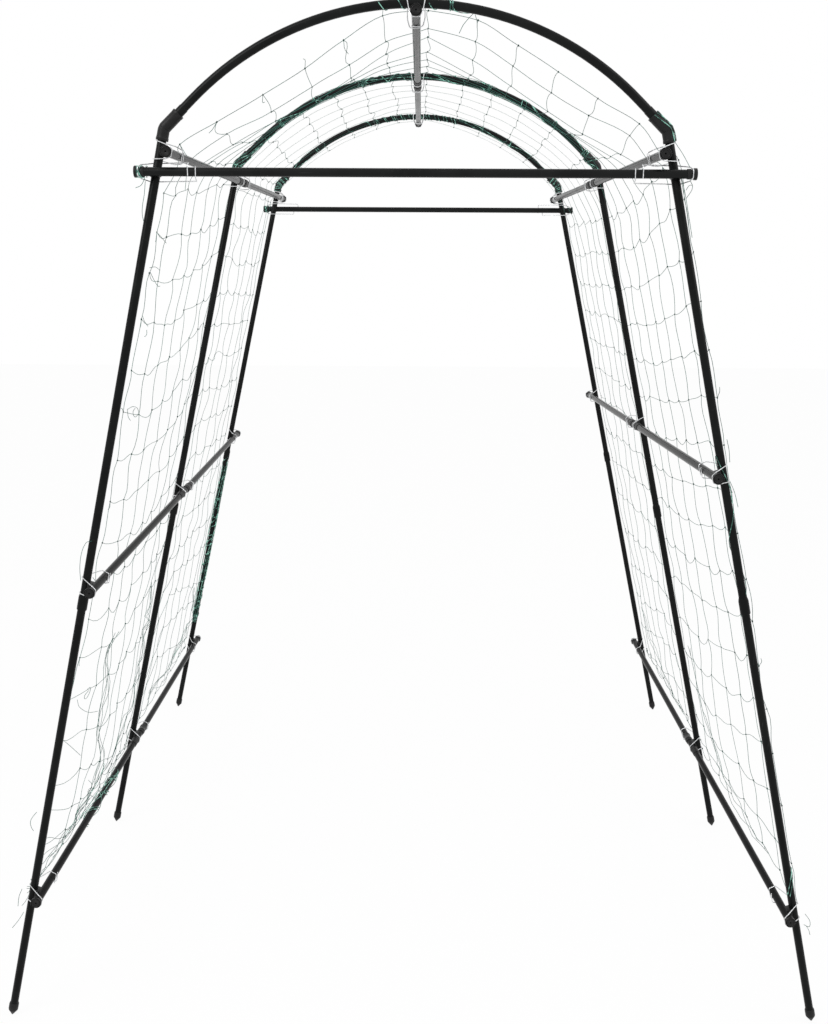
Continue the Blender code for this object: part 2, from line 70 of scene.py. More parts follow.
def legUp(side):
    return Vector((-side * math.sin(splay), 0, math.cos(splay)))


def legOut(side):
    return Vector((side * math.cos(splay), 0, math.sin(splay)))


def legPoint(side, place, along):
    # place runs from -1 at the front frame to 1 at the rear one
    return Vector((side * arch["footOut"], place * arch["spacing"], 0)) + legUp(side) * along


def archUp(side):
    return Vector((-side * math.cos(endAngle), 0, math.sin(endAngle)))


def axes(origin, x, y, z):
    return Matrix.Translation(origin) @ Matrix((x, y, z)).transposed().to_4x4()


# shader maths


class Wire:
    # one output of a node, so that maths on it reads as maths
    def __init__(self, tree, socket=None):
        self.tree = tree
        self.socket = socket

    def feed(self, sockets, values):
        for name, value in values.items():
            if isinstance(value, Wire):
                self.tree.links.new(value.socket, sockets[name])
            else:
                sockets[name].default_value = value

    def node(self, kind, settings=None, inputs=None, output=0):
        made = self.tree.nodes.new(kind)
        for name, value in (settings or {}).items():
            setattr(made, name, value)
        self.feed(made.inputs, inputs or {})
        return Wire(self.tree, made.outputs[output])

    def maths(self, operation, first, second=0.0, clamp=False):
        settings = {"operation": operation, "use_clamp": clamp}
        return self.node("ShaderNodeMath", settings, {0: first, 1: second})

    def __add__(self, other):
        return self.maths("ADD", self, other)

    __radd__ = __add__

    def __mul__(self, other):
        return self.maths("MULTIPLY", self, other)

    __rmul__ = __mul__

    def __sub__(self, other):
        return self.maths("SUBTRACT", self, other)

    def __rsub__(self, other):
        return self.maths("SUBTRACT", other, self)

    def clamped(self):
        return self.maths("ADD", self, 0.0, True)

    def steps(self, low, high):
        # 0 below low, 1 above high and a smooth rise between
        return self.node("ShaderNodeMapRange", {"interpolation_type": "SMOOTHSTEP"},
                         {"Value": self, "From Min": low, "From Max": high})

    def grain(self, place, scale, detail=2.0, roughness=0.5):
        return self.node("ShaderNodeTexNoise", None,
                         {"Vector": place, "Scale": scale, "Detail": detail, "Roughness": roughness})

    def stretched(self, place, scale):
        return self.node("ShaderNodeMapping", None, {"Vector": place, "Scale": scale})

    def blended(self, first, second):
        # mixes two colours, self is how much of the second
        colours = [colour if isinstance(colour, Wire) else (*colour, 1) for colour in (first, second)]
        return self.node("ShaderNodeMix", {"data_type": "RGBA"}, {0: self, 6: colours[0], 7: colours[1]}, 2)

    def bump(self, depth, strength):
        return self.node("ShaderNodeBump", None, {"Height": self, "Distance": depth, "Strength": strength})


def newFinish(name):
    finish = bpy.data.materials.new(name)
    finish.use_nodes = True
    start = Wire(finish.node_tree)
    place = start.node("ShaderNodeTexCoord", output="Object")
    return finish, finish.node_tree.nodes["Principled BSDF"], start, place


def coatFinish(name, look):
    # baked coat on steel tube: orange peel, soft mottling, dust and fine rubbed lines along the tube
    finish, shader, start, place = newFinish(name)
    drawn = start.stretched(place, look["drawn"])
    mottle = start.grain(place, 14, 3)
    dust = start.grain(place, 120, 4, 0.65).steps(0.56, 0.74)
    rubbed = start.grain(drawn, 420, 3, 0.6).steps(0.63, 0.72)
    peel = start.grain(place, 620, 2)
    worn = (rubbed * start.grain(place, 7, 2).steps(0.5, 0.66) * look["wear"]).clamped()
    base = mottle.steps(0.3, 0.7).blended(look["dark"], look["light"])
    dusted = (dust * 0.35).blended(base, look["dust"])
    start.feed(shader.inputs, {
        "Base Color": worn.blended(dusted, look["scuff"]),
        "Roughness": (mottle * 0.16 + dust * 0.10 + worn * 0.22 + look["roughness"]).clamped(),
        "Specular IOR Level": look["gloss"],
        "Normal": (peel * 0.8 + worn * 0.5).bump(0.00012, 0.6),
    })
    return finish


def plasticFinish(name, look):
    # moulded fittings: fine spark grain, flow marks and paler rubbed spots
    finish, shader, start, place = newFinish(name)
    spark = start.grain(place, 1900, 2, 0.6)
    flow = start.grain(start.stretched(place, (1, 1, 3)), 60, 3)
    rubbed = start.grain(place, 260, 4, 0.7).steps(0.60, 0.76)
    base = flow.steps(0.3, 0.7).blended(look["dark"], look["light"])
    start.feed(shader.inputs, {
        "Base Color": (rubbed * 0.5).blended(base, look["scuff"]),
        "Roughness": (flow * 0.14 + spark * 0.10 + rubbed * 0.08 + look["roughness"]).clamped(),
        "Specular IOR Level": look["gloss"],
        "Normal": (spark + flow * 0.6).bump(0.00010, 0.7),
    })
    return finish


def wireFinish(name, look):
    # drawn and galvanised wire: zinc bloom, drawing lines and a few dull spots
    finish, shader, start, place = newFinish(name)
    bloom = start.grain(place, 330, 3, 0.6)
    spots = start.grain(place, 900, 3, 0.7).steps(0.62, 0.74)
    lines = start.grain(start.stretched(place, (1, 1, 0.1)), 2600, 1)
    base = bloom.steps(0.35, 0.65).blended(look["dark"], look["light"])
    start.feed(shader.inputs, {
        "Base Color": (spots * 0.6).blended(base, look["dull"]),
        "Metallic": 1.0,
        "Roughness": (bloom * 0.20 + spots * 0.25 + look["roughness"]).clamped(),
        "Normal": (lines * 0.7 + bloom * 0.5).bump(0.00005, 0.5),
    })
    return finish


def twineFinish(name, look):
    # twisted twine: three plies that wind along each strand, with painted shade in the grooves between
    # them, and loose fuzz
    finish, shader, start, place = newFinish(name)
    lay = start.node("ShaderNodeAttribute", {"attribute_name": "lay"}, output="Vector")
    out, across, length = (start.node("ShaderNodeSeparateXYZ", None, {0: lay}, axis) for axis in "XYZ")
    angle = start.maths("ARCTAN2", across, out)
    plies = start.maths("SINE", 3 * angle + length * (2 * math.pi / look["pitch"]))
    # the tone noise picks between the dark and light colours: on the net a real tone that differs at
    # random, on the lashing twine painted glints
    tone = start.grain(place, look["patches"], 3, 0.6)
    fuzz = start.grain(place, 1500, 2, 0.7)
    base = tone.steps(look["from"], look["to"]).blended(look["dark"], look["light"])
    # the grooves between the plies are darkened towards the deep colour: painted shade in the grooves
    groove = (0.1 - plies * 0.5).clamped()
    start.feed(shader.inputs, {
        "Base Color": (groove * 0.7).blended(base, look["deep"]),
        "Roughness": (fuzz * 0.25 + tone * 0.12 + look["roughness"]).clamped(),
        "Specular IOR Level": look["gloss"],
        "Normal": (plies * 0.5 + fuzz * 0.4).bump(0.00018, 0.8),
    })
    return finish


finishes = {
    "leg": coatFinish("legCoat", {
        "drawn": (1, 1, 0.04), "dark": (0.0038, 0.0042, 0.0042), "light": (0.0070, 0.0078, 0.0078),
        "dust": (0.018, 0.019, 0.018), "scuff": (0.050, 0.052, 0.053), "wear": 0.45,
        "roughness": 0.20, "gloss": 0.09}),
    "roof": coatFinish("roofTubeCoat", {
        "drawn": (0.25, 1, 0.25), "dark": (0.0040, 0.0045, 0.0045), "light": (0.0076, 0.0084, 0.0084),
        "dust": (0.019, 0.020, 0.019), "scuff": (0.055, 0.057, 0.058), "wear": 0.45,
        "roughness": 0.20, "gloss": 0.11}),
    "rail": coatFinish("railCoat", {
        "drawn": (1, 0.04, 1), "dark": (0.0056, 0.0058, 0.0060), "light": (0.0105, 0.0107, 0.0110),
        "dust": (0.025, 0.025, 0.024), "scuff": (0.075, 0.076, 0.077), "wear": 0.55,
        "roughness": 0.11, "gloss": 0.035}),
    "bar": coatFinish("crossbarCoat", {
        "drawn": (0.04, 1, 1), "dark": (0.0044, 0.0050, 0.0050), "light": (0.0080, 0.0088, 0.0088),
        "dust": (0.020, 0.021, 0.020), "scuff": (0.055, 0.057, 0.058), "wear": 0.50,
        "roughness": 0.20, "gloss": 0.13}),
    "fitting": plasticFinish("fittingPlastic", {
        "dark": (0.0040, 0.0040, 0.0042), "light": (0.0085, 0.0085, 0.0087),
        "scuff": (0.034, 0.034, 0.035), "roughness": 0.26, "gloss": 0.24}),
    "wire": wireFinish("galvanisedWire", {
        "dark": (0.56, 0.57, 0.58), "light": (0.84, 0.85, 0.86), "dull": (0.38, 0.39, 0.40),
        "roughness": 0.14}),
    # on the twine finishes, deep is the painted shade in the grooves between the plies
    "net": twineFinish("netTwine", {
        "dark": (0.014, 0.085, 0.065), "light": (0.030, 0.175, 0.132), "deep": (0.004, 0.026, 0.020),
        "patches": 26, "from": 0.32, "to": 0.68, "pitch": 0.0042, "roughness": 0.42, "gloss": 0.35}),
    # the knots are the net's twine in a darker copy of its finish: painted shade where the strands bunch up
    # in the knot
    "knot": twineFinish("knotTwinePaintedShade", {
        "dark": (0.004, 0.034, 0.025), "light": (0.009, 0.070, 0.050), "deep": (0.002, 0.012, 0.009),
        "patches": 26, "from": 0.32, "to": 0.68, "pitch": 0.0030, "roughness": 0.45, "gloss": 0.30}),
    # the lashing twine is dark green; its pale light patches are painted glints, bright ticks among the
    # dark
    "lashing": twineFinish("lashingTwineWithPaintedGlints", {
        "dark": (0.010, 0.085, 0.060), "light": (0.400, 0.900, 0.720), "deep": (0.008, 0.070, 0.050),
        "patches": 95, "from": 0.44, "to": 0.62, "pitch": 0.0048, "roughness": 0.26, "gloss": 0.70}),
}
print("finishes:", len(finishes))


# shaping tools

tubeSides = 32
sharpTurn = math.radians(24)   # an edge that turns by more is softened


def inScene(name, content):
    made = bpy.data.objects.new(name, content)
    bpy.context.scene.collection.objects.link(made)
    return made


def finishPiece(name, shape, finish, nodes=(), body="frame", crease=32):
    mesh = bpy.data.meshes.new(name)
    shape.to_mesh(mesh)
    shape.free()
    mesh.materials.append(finishes[finish])
    mesh.shade_smooth()
    mesh.set_sharp_from_angle(angle=math.radians(crease))
    piece = inScene(name, mesh)
    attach(piece, body)
    if nodes:
        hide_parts(*nodes)


def softenEdges(shape, width):
    sharp = [edge for edge in shape.edges
             if len(edge.link_faces) == 2 and edge.calc_face_angle(0) > sharpTurn]
    bmesh.ops.bevel(shape, geom=sharp, offset=width, offset_type="OFFSET", segments=2, profile=0.5,
                    affect="EDGES", clamp_overlap=True, material=-1)


def turnedShape(outline, place, edge):
    # outline is (radius, height) from one end of the axis to the other
    shape = bmesh.new()
    corners = [shape.verts.new((radius, 0, height)) for radius, height in outline]
    for first, second in zip(corners, corners[1:]):
        shape.edges.new((first, second))
    bmesh.ops.spin(shape, geom=shape.verts[:] + shape.edges[:], cent=(0, 0, 0), axis=(0, 0, 1),
                   dvec=(0, 0, 0), angle=2 * math.pi, steps=tubeSides, use_merge=True, use_duplicate=False)
    bmesh.ops.remove_doubles(shape, verts=shape.verts, dist=1e-6)
    bmesh.ops.recalc_face_normals(shape, faces=shape.faces)
    if edge:
        softenEdges(shape, edge)
    bmesh.ops.transform(shape, matrix=place, verts=shape.verts)
    return shape


def joined(shapes):
    # puts several shapes in one
    whole = bmesh.new()
    for shape in shapes:
        carrier = bpy.data.meshes.new("carrier")
        shape.to_mesh(carrier)
        shape.free()
        whole.from_mesh(carrier)
        bpy.data.meshes.remove(carrier)
    return whole


def lengths(line):
    run = [0.0]
    for first, second in zip(line, line[1:]):
        run.append(run[-1] + (second - first).length)
    return run


def spotOn(line, run, distance):
    # the point at a distance along a line, and the way the line goes there
    step = 0
    while step < len(line) - 2 and run[step + 1] < distance:
        step += 1
    reach = line[step + 1] - line[step]
    return line[step] + reach * ((distance - run[step]) / reach.length), reach.normalized()


def between(places, values, place):
    # straight interpolation in a table, flat beyond its ends
    if place <= places[0]:
        return values[0]
    for low, high, first, last in zip(places, places[1:], values, values[1:]):
        if place <= high:
            return first + (last - first) * (place - low) / (high - low)
    return values[-1]


def sweptShape(line, outline, around, edge=0):
    # draws a ring along a line; outline is (distance, radius), and two radii at one distance make a step
    run = lengths(line)
    marks, radii = zip(*outline)
    stations = list(outline)
    for distance in run[1:-1]:
        if min(abs(distance - mark) for mark in marks) > 1e-5 and marks[0] < distance < marks[-1]:
            stations.append((distance, between(marks, radii, distance)))
    stations.sort(key=lambda station: station[0])
    shape = bmesh.new()
    lay = shape.verts.layers.float_vector.new("lay")
    ring = bmesh.ops.create_circle(shape, cap_ends=True, radius=radii[0], segments=around)["verts"]
    for corner in ring:
        corner[lay] = (corner.co.x / radii[0], corner.co.y / radii[0], 0)
    edges = [edge for edge in shape.edges if all(end in ring for end in edge.verts)]
    last = None
    for distance, radius in stations:
        point = spotOn(line, run, distance)[0]
        way = (spotOn(line, run, max(distance - 1e-4, 0))[1]
               + spotOn(line, run, min(distance + 1e-4, run[-1]))[1]).normalized()
        if last is None:
            turn = Matrix.Translation(point) @ upright.rotation_difference(way).to_matrix().to_4x4()
        else:
            grown = bmesh.ops.extrude_edge_only(shape, edges=edges)["geom"]
            ring = [part for part in grown if isinstance(part, bmesh.types.BMVert)]
            inRing = set(ring)
            edges = [part for part in grown
                     if isinstance(part, bmesh.types.BMEdge) and inRing.issuperset(part.verts)]
            turn = (Matrix.Translation(point) @ last[1].rotation_difference(way).to_matrix().to_4x4()
                    @ Matrix.Scale(radius / last[2], 4) @ Matrix.Translation(-last[0]))
            for corner in ring:
                corner[lay].z = distance
        bmesh.ops.transform(shape, matrix=turn, verts=ring)
        last = (point, way, radius)
    bmesh.ops.contextual_create(shape, geom=edges)
    bmesh.ops.recalc_face_normals(shape, faces=shape.faces)
    if edge:
        softenEdges(shape, edge)
    return shape


def slackLine(start, end, first, last, steps=6):
    # a curve with an arm at both ends, each pointing the way the line goes
    return interpolate_bezier(start, start + first, end - last, end, steps)


def roundedLine(corners, radius, steps):
    # a line of straight runs with its corners bent round; a slight turn stays a corner
    line = [corners[0]]
    for before, corner, after in zip(corners, corners[1:], corners[2:]):
        back, ahead = before - corner, after - corner
        bend = math.pi - back.angle(ahead)
        if bend < 0.35:
            line.append(corner)
            continue
        trim = min(radius * math.tan(bend / 2), back.length * 0.46, ahead.length * 0.46)
        arm = 4 / 3 * math.tan(bend / 4) / math.tan(bend / 2)
        start, end = corner + back.normalized() * trim, corner + ahead.normalized() * trim
        line += slackLine(start, end, (corner - start) * arm, (end - corner) * arm, steps)
    line.append(corners[-1])
    return line


def roofLine(place, start=0.0, steps=48):
    # the roof tube's middle line, from inside the left elbow to inside the right one
    y = place * arch["spacing"]
    middle = Vector((0, y, apexUp - arch["roofBend"]))
    corner = Vector((-arch["elbowOut"], y, arch["elbowUp"]))
    line = [corner + archUp(-1) * start]
    for step in range(steps + 1):
        turn = endAngle * (2 * step / steps - 1)
        line.append(middle + arch["roofBend"] * Vector((math.sin(turn), 0, math.cos(turn))))
    line.append(Vector((-line[0].x, y, line[0].z)))
    return line


# legs, elbows and roof tubes

leg = {
    "sleeveUp": 0.905,         # height of the joint between the two tubes
    "sleeve": 0.0098,          # its radius
    "sleeveLong": 0.032,
    "spike": 0.0098,
    "tip": 0.0013,             # radius of the spike's blunt end
    "tipUp": 0.0007,
    "cone": 0.013,
    "collar": 0.017,
    "ringUp": 0.104,           # a faint pressed ring above the spike
    "ringDeep": 0.00035,
    "elbowReach": 0.021,       # how far the elbow comes down the leg
    "inElbow": 0.009,          # from the tube's end to the elbow's corner
    "tuck": 0.004,             # how far a tube runs on inside the next piece
    "edge": 0.0003,
}
sleeveAlong = legAlong(leg["sleeveUp"])


def legPlace(side, place, along=0.0):
    return axes(legPoint(side, place, along), rearward.cross(legUp(side)), rearward, legUp(side))


def makeLeg(label, side, place):
    radius, wide, edge, tuck = arch["tube"], leg["sleeve"], leg["edge"], leg["tuck"]
    top, ring, groove = leg["cone"] + leg["collar"], leg["ringUp"], arch["tube"] - leg["ringDeep"]
    spike = turnedShape([
        (0, leg["tipUp"]), (leg["tip"], leg["tipUp"]), (leg["spike"] - 0.0004, leg["cone"]),
        (leg["spike"], leg["cone"] + 0.002), (leg["spike"], top - 0.003), (radius + 0.0006, top), (0, top)],
        legPlace(side, place), edge)
    finishPiece(f"spike_{label}", spike, "fitting", [f"leg_lower_{label}"])
    lower = turnedShape([
        (0, top - tuck), (radius, top - tuck), (radius, ring), (groove, ring + 0.0003),
        (groove, ring + 0.0011), (radius, ring + 0.0014), (radius, sleeveAlong - tuck),
        (0, sleeveAlong - tuck)], legPlace(side, place), 0)
    finishPiece(f"lower_tube_{label}", lower, "leg", [f"leg_lower_{label}"])
    half = leg["sleeveLong"] / 2
    end = legLong - sleeveAlong - leg["inElbow"]
    upper = turnedShape([
        (0, tuck - half), (radius + 0.0004, tuck - half), (radius + 0.0004, -half), (wide - 0.0004, -half),
        (wide, 0.0012 - half), (wide, half - 0.0050), (radius + 0.0007, half), (radius, half + 0.0012),
        (radius, end), (0, end)], legPlace(side, place, sleeveAlong), edge)
    finishPiece(f"upper_tube_{label}", upper, "leg", [f"leg_upper_{label}"])


elbow = {
    "radius": 0.0110,
    "downLeg": leg["elbowReach"],
    "upRoof": 0.038,
    "seat": 0.010,             # from its corner to the roof tube's end
    "bend": 0.012,
    "lip": 0.0004,             # how far the mouth's rim stands out
    "lipLong": 0.0045,
    "ferrule": 0.0087,         # the tube's own collar beyond the elbow's mouth
    "ferruleLong": 0.013,
    "edge": 0.0003,
}


def elbowLine(side, place):
    corner = legPoint(side, place, legLong)
    ends = corner - legUp(side) * elbow["downLeg"], corner + archUp(side) * elbow["upRoof"]
    return roundedLine([ends[0], corner, ends[1]], elbow["bend"], 9)


def makeElbow(label, side, place):
    line = elbowLine(side, place)
    long, radius, lip, tube = lengths(line)[-1], elbow["radius"], elbow["lipLong"], arch["tube"]
    rim = radius + elbow["lip"]
    body = sweptShape(line, [
        (0, tube + 0.0004), (0, rim - 0.0002), (lip, rim), (lip + 0.001, radius - 0.0002),
        (long * 0.36, radius - 0.0003), (long * 0.40, radius + 0.0001), (long - lip - 0.001, radius),
        (long - lip, rim), (long, rim), (long, tube + 0.0006)], tubeSides, elbow["edge"])
    finishPiece(f"elbow_piece_{label}", body, "fitting", [f"elbow_{label}"])


def makeRoofTube(frameName, place):
    line = roofLine(place, elbow["seat"])
    long, radius, wide = lengths(line)[-1], arch["tube"], elbow["ferrule"]
    mouth = elbow["upRoof"] - elbow["seat"]
    near, far = mouth - 0.003, mouth + elbow["ferruleLong"]
    outline = [(0, radius), (near, radius), (near, wide), (far, wide), (far + 0.0006, radius)]
    mirrored = [(long - distance, width) for distance, width in reversed(outline)]
    tube = sweptShape(line, outline + mirrored, tubeSides)
    finishPiece(f"roof_tube_{frameName}", tube, "roof", [f"arch_tube_{frameName}"])


for frameName, place in arch["frames"].items():
    makeRoofTube(frameName, place)
    for sideName, side in arch["sides"].items():
        makeLeg(f"{frameName}_{sideName}", side, place)
        makeElbow(f"{frameName}_{sideName}", side, place)
print("frames: 3 roof tubes, 6 legs, 6 elbows")


# wire clips

clip = {
    "wire": 0.0010,
    "halfSpan": 0.016,
    "far": 0.068,
    "stagger": 0.007,
    "clearance": 0.0006,
    "armDeep": 0.005,
    "corner": 0.012,
    "knee": 0.004,             # from the near end back to where the arms start to close
    "bend": 0.007,
    "tail": 0.009,
    "rounding": 0.0042,        # inside of the wire's bends
    "wrapSteps": 8,
}


def wrapPoints(across, centre, near, far):
    # the wire's way round the back of the tube, between its two arms
    ring = arch["tube"] + clip["clearance"] + clip["wire"]
    angles = []
    for end, sign in ((near, -1), (far, 1)):
        gap = end - centre
        heading, opening = math.atan2(gap.y, abs(gap.x)), math.acos(ring / gap.length)
        angles.append(math.pi / 2 - sign * (math.pi / 2 - heading - opening))
    points = []
    for step in range(clip["wrapSteps"] + 1):
        angle = angles[0] + (angles[1] - angles[0]) * step / clip["wrapSteps"]
        spot = centre + ring * Vector((math.cos(angle), math.sin(angle)))
        points.append(Vector((spot.x, across, spot.y)))
    return points


def makeClip(name, crossing, lean, direction, body, overhang):
    over = arch["tube"] + clip["clearance"] + clip["wire"]
    near = rail["flange"] + rail["groove"] / 2 - overhang
    knee = Vector((near + clip["knee"], 0))
    halves = []
    for sign in (1, -1):
        across = sign * clip["halfSpan"]
        far = clip["far"] + sign * clip["stagger"]
        centre = Vector((across * math.tan(lean * direction), arch["railOffset"]))
        halves.append([
            Vector((far, -sign * clip["tail"], -over + clip["wire"])),
            Vector((far, sign * clip["corner"], -over)),
            Vector((far, across, clip["armDeep"])),
            *wrapPoints(across, centre, knee, Vector((far, clip["armDeep"])))[::-1],
            Vector((knee.x, sign * clip["corner"], knee.y)),
            Vector((near, sign * clip["bend"], -over))])
    corners = [Vector((point.x * direction, point.y, point.z)) for point in halves[0] + halves[1][::-1]]
    line = [crossing @ point for point in roundedLine(corners, clip["rounding"], 6)]
    long, wire, edge = lengths(line)[-1], clip["wire"], 0.0004
    shape = sweptShape(line, [(0, wire * 0.6), (edge, wire), (long - edge, wire), (long, wire * 0.6)], 12)
    finishPiece(f"wire_{name}", shape, "wire", [name], body)


# rails and crossbars

rail = {
    "overhang": {"rail": 0.042, "bar": 0.036},
    "cap": 0.0105,
    "capLong": 0.018,
    "flange": 0.006,
    "groove": 0.0045,
    "skirt": 0.0092,
    "vent": 0.0015,
    "dish": 0.0014,            # how deep the cap's face lies between its rings
    "coupling": 0.0100,
    "couplingBack": 0.024,     # from the middle frame to the coupling
    "couplingLong": 0.032,
    "tuck": 0.004,
    "edge": 0.0002,
    "saddleLong": 0.020,
    "saddleDeep": 0.0135,
    "saddleOnTube": 0.018,
    "saddleOnRail": 0.014,
    "rib": (0.0022, 0.0156, 0.0062),
    "lower": {"left": (0.285, 0.245), "right": (0.255, 0.245)},    # heights at the front and the rear
    "apart": 0.001,            # between a clip and the next fitting
    "crossbarDown": 0.004,     # from the shoulder clips to the crossbars' clips
    "leftRise": 0.036,         # how much higher the left middle rail is at the rear
    "rightUp": 1.165,
    "rightFall": 0.050,
}
ringAlong = clip["halfSpan"] + clip["wire"]      # half a clip's height
shoulderAlong = legLong - leg["elbowReach"] - ringAlong - rail["apart"]
crossbarAlong = shoulderAlong - 2 * ringAlong - rail["crossbarDown"]
leftAlong = sleeveAlong + leg["sleeveLong"] / 2 + ringAlong + rail["apart"]


def capOutline():
    cap, face, neck, skirt = rail["cap"], -rail["dish"], arch["tube"] + 0.0001, rail["skirt"]
    flange, foot = -rail["flange"], -rail["capLong"]
    collar = flange - rail["groove"]
    return [
        (0, -0.0040), (rail["vent"], -0.0040), (rail["vent"], face), (0.0060, face), (0.0066, -0.0004),
        (0.0074, 0), (0.0082, -0.0004), (0.0087, face), (0.0094, face), (0.0100, -0.0003), (cap, -0.0011),
        (cap, flange + 0.0004), (cap - 0.0004, flange), (neck, flange), (neck, collar),
        (skirt - 0.0004, collar), (skirt, collar - 0.0005), (skirt, foot + 0.0006),
        (skirt - 0.0005, foot), (0, foot)]


def couplingOutlines():
    # the coupling with its band, and the collar of the front tube's end
    radius, wide, back = arch["tube"], rail["coupling"], rail["couplingBack"]
    step, far = wide - 0.0008, back + rail["couplingLong"]
    return (
        [(0, back - 0.012), (step, back - 0.012), (step, back), (wide, back), (wide, back + 0.0040),
         (step, back + 0.0045), (step, far - 0.0050), (wide, far - 0.0045), (wide, far - 0.0010),
         (radius + 0.0008, far), (0, far)],
        [(0, -0.073), (radius + 0.0006, -0.073), (step, -0.0715), (step, -0.044), (wide, -0.0435),
         (wide, -0.0390), (step, -0.0385), (0, -0.0385)])


def block(size, middle):
    shape = bmesh.new()
    bmesh.ops.create_cube(shape, size=1)
    bmesh.ops.scale(shape, vec=size, verts=shape.verts)
    bmesh.ops.translate(shape, vec=middle, verts=shape.verts)
    return shape


def makeSaddle(name, crossing, node, body):
    # the cradle between a rail and the tube behind it, wide on the tube and narrow on the rail
    long, narrow, deep = rail["saddleLong"], rail["saddleOnRail"], rail["saddleDeep"]
    shape = block((long, narrow, deep), (0, 0, deep / 2))
    tubeSide = [corner for corner in shape.verts if corner.co.z > deep / 2]
    bmesh.ops.scale(shape, vec=(1, rail["saddleOnTube"] / narrow, 1), verts=tubeSide)
    bmesh.ops.bevel(shape, geom=shape.edges[:], offset=0.0012, offset_type="OFFSET", segments=2,
                    profile=0.5, affect="EDGES", material=-1)
    parts = [shape]
    for end in (-1, 1):
        rib = block(rail["rib"], (end * (long / 2 - 0.0020), 0, 0.0018))
        softenEdges(rib, 0.0006)
        parts.append(rib)
    whole = joined(parts)
    bmesh.ops.transform(whole, matrix=crossing, verts=whole.verts)
    finishPiece(name, whole, "fitting", [node], body, crease=40)


def makeRail(label, kind, start, end, towards, tubeWays, body="frame"):
    # the tube and its caps, on long rails the coupling, and the saddle and clip at every crossing
    node = f"rail_{label}" if kind == "rail" else label
    way = (end - start).normalized()
    half = (end - start).length / 2 + rail["overhang"][kind]
    place = axes((start + end) / 2, towards.cross(way), towards, way)
    radius, stop = arch["tube"], half - rail["tuck"]
    tube = turnedShape([(0, -stop), (radius, -stop), (radius, stop), (0, stop)], place, 0)
    finishPiece(f"rail_tube_{label}", tube, kind, [node], body)
    turned = Matrix.Rotation(math.pi, 4, "X")
    caps = [turnedShape(capOutline(), place @ Matrix.Translation((0, 0, half)), rail["edge"]),
            turnedShape(capOutline(), place @ Matrix.Translation((0, 0, -half)) @ turned, rail["edge"])]
    finishPiece(f"rail_caps_{label}", joined(caps), "fitting", [node], body)
    if kind == "rail":
        coupling = joined([turnedShape(outline, place, rail["edge"]) for outline in couplingOutlines()])
        finishPiece(f"rail_coupling_{label}", coupling, "fitting", [node], body)
    marks = arch["frames"] if kind == "rail" else arch["sides"]
    for (mark, at), tubeWay in zip(marks.items(), tubeWays):
        crossing = axes(start.lerp(end, (at + 1) / 2), way, towards.cross(way), towards)
        local = crossing.to_3x3().transposed() @ tubeWay
        if local.y < 0:
            local = -local
        makeSaddle(f"saddle_{label}_{mark}", crossing, node, body)
        makeClip(f"clip_{label}_{mark}", crossing, math.atan2(local.x, local.y), -1 if at > 0 else 1,
                 body, rail["overhang"][kind])


def besideLeg(side, place, along):
    return legPoint(side, place, along) - legOut(side) * arch["railOffset"]


def makeSideRail(label, side, frontAlong, rearAlong, body="frame"):
    start, end = besideLeg(side, -1, frontAlong), besideLeg(side, 1, rearAlong)
    makeRail(label, "rail", start, end, legOut(side), [legUp(side)] * 3, body)


def makeRidge():
    height = apexUp - arch["railOffset"]
    start, end = (Vector((0, place * arch["spacing"], height)) for place in (-1, 1))
    makeRail("ridge", "rail", start, end, upright, [Vector((1, 0, 0))] * 3)


def makeCrossbar(frameName):
    facing = arch["frames"][frameName]
    outward = rearward * facing
    start, end = (legPoint(side, facing, crossbarAlong) + outward * arch["railOffset"] for side in (-1, 1))
    makeRail(f"crossbar_{frameName}", "bar", start, end, -outward, [legUp(-1), legUp(1)])


makeRidge()
for sideName, side in arch["sides"].items():
    makeSideRail(f"shoulder_{sideName}", side, shoulderAlong, shoulderAlong)
    makeSideRail(f"lower_{sideName}", side, *(legAlong(height) for height in rail["lower"][sideName]))
makeSideRail("mid_left", -1, leftAlong, leftAlong + legAlong(rail["leftRise"]), "mid_rail_left")
makeSideRail("mid_right", 1, legAlong(rail["rightUp"]), legAlong(rail["rightUp"] - rail["rightFall"]),
             "mid_rail_right")
makeCrossbar("front")
makeCrossbar("rear")
print("rails: 7 rails, 2 crossbars, 25 saddles and wire clips")


def metres(table):
    # the net's tables of heights and places are in millimetres
    return tuple(metres(entry) for entry in table) if isinstance(table, tuple) else table / 1000


# net

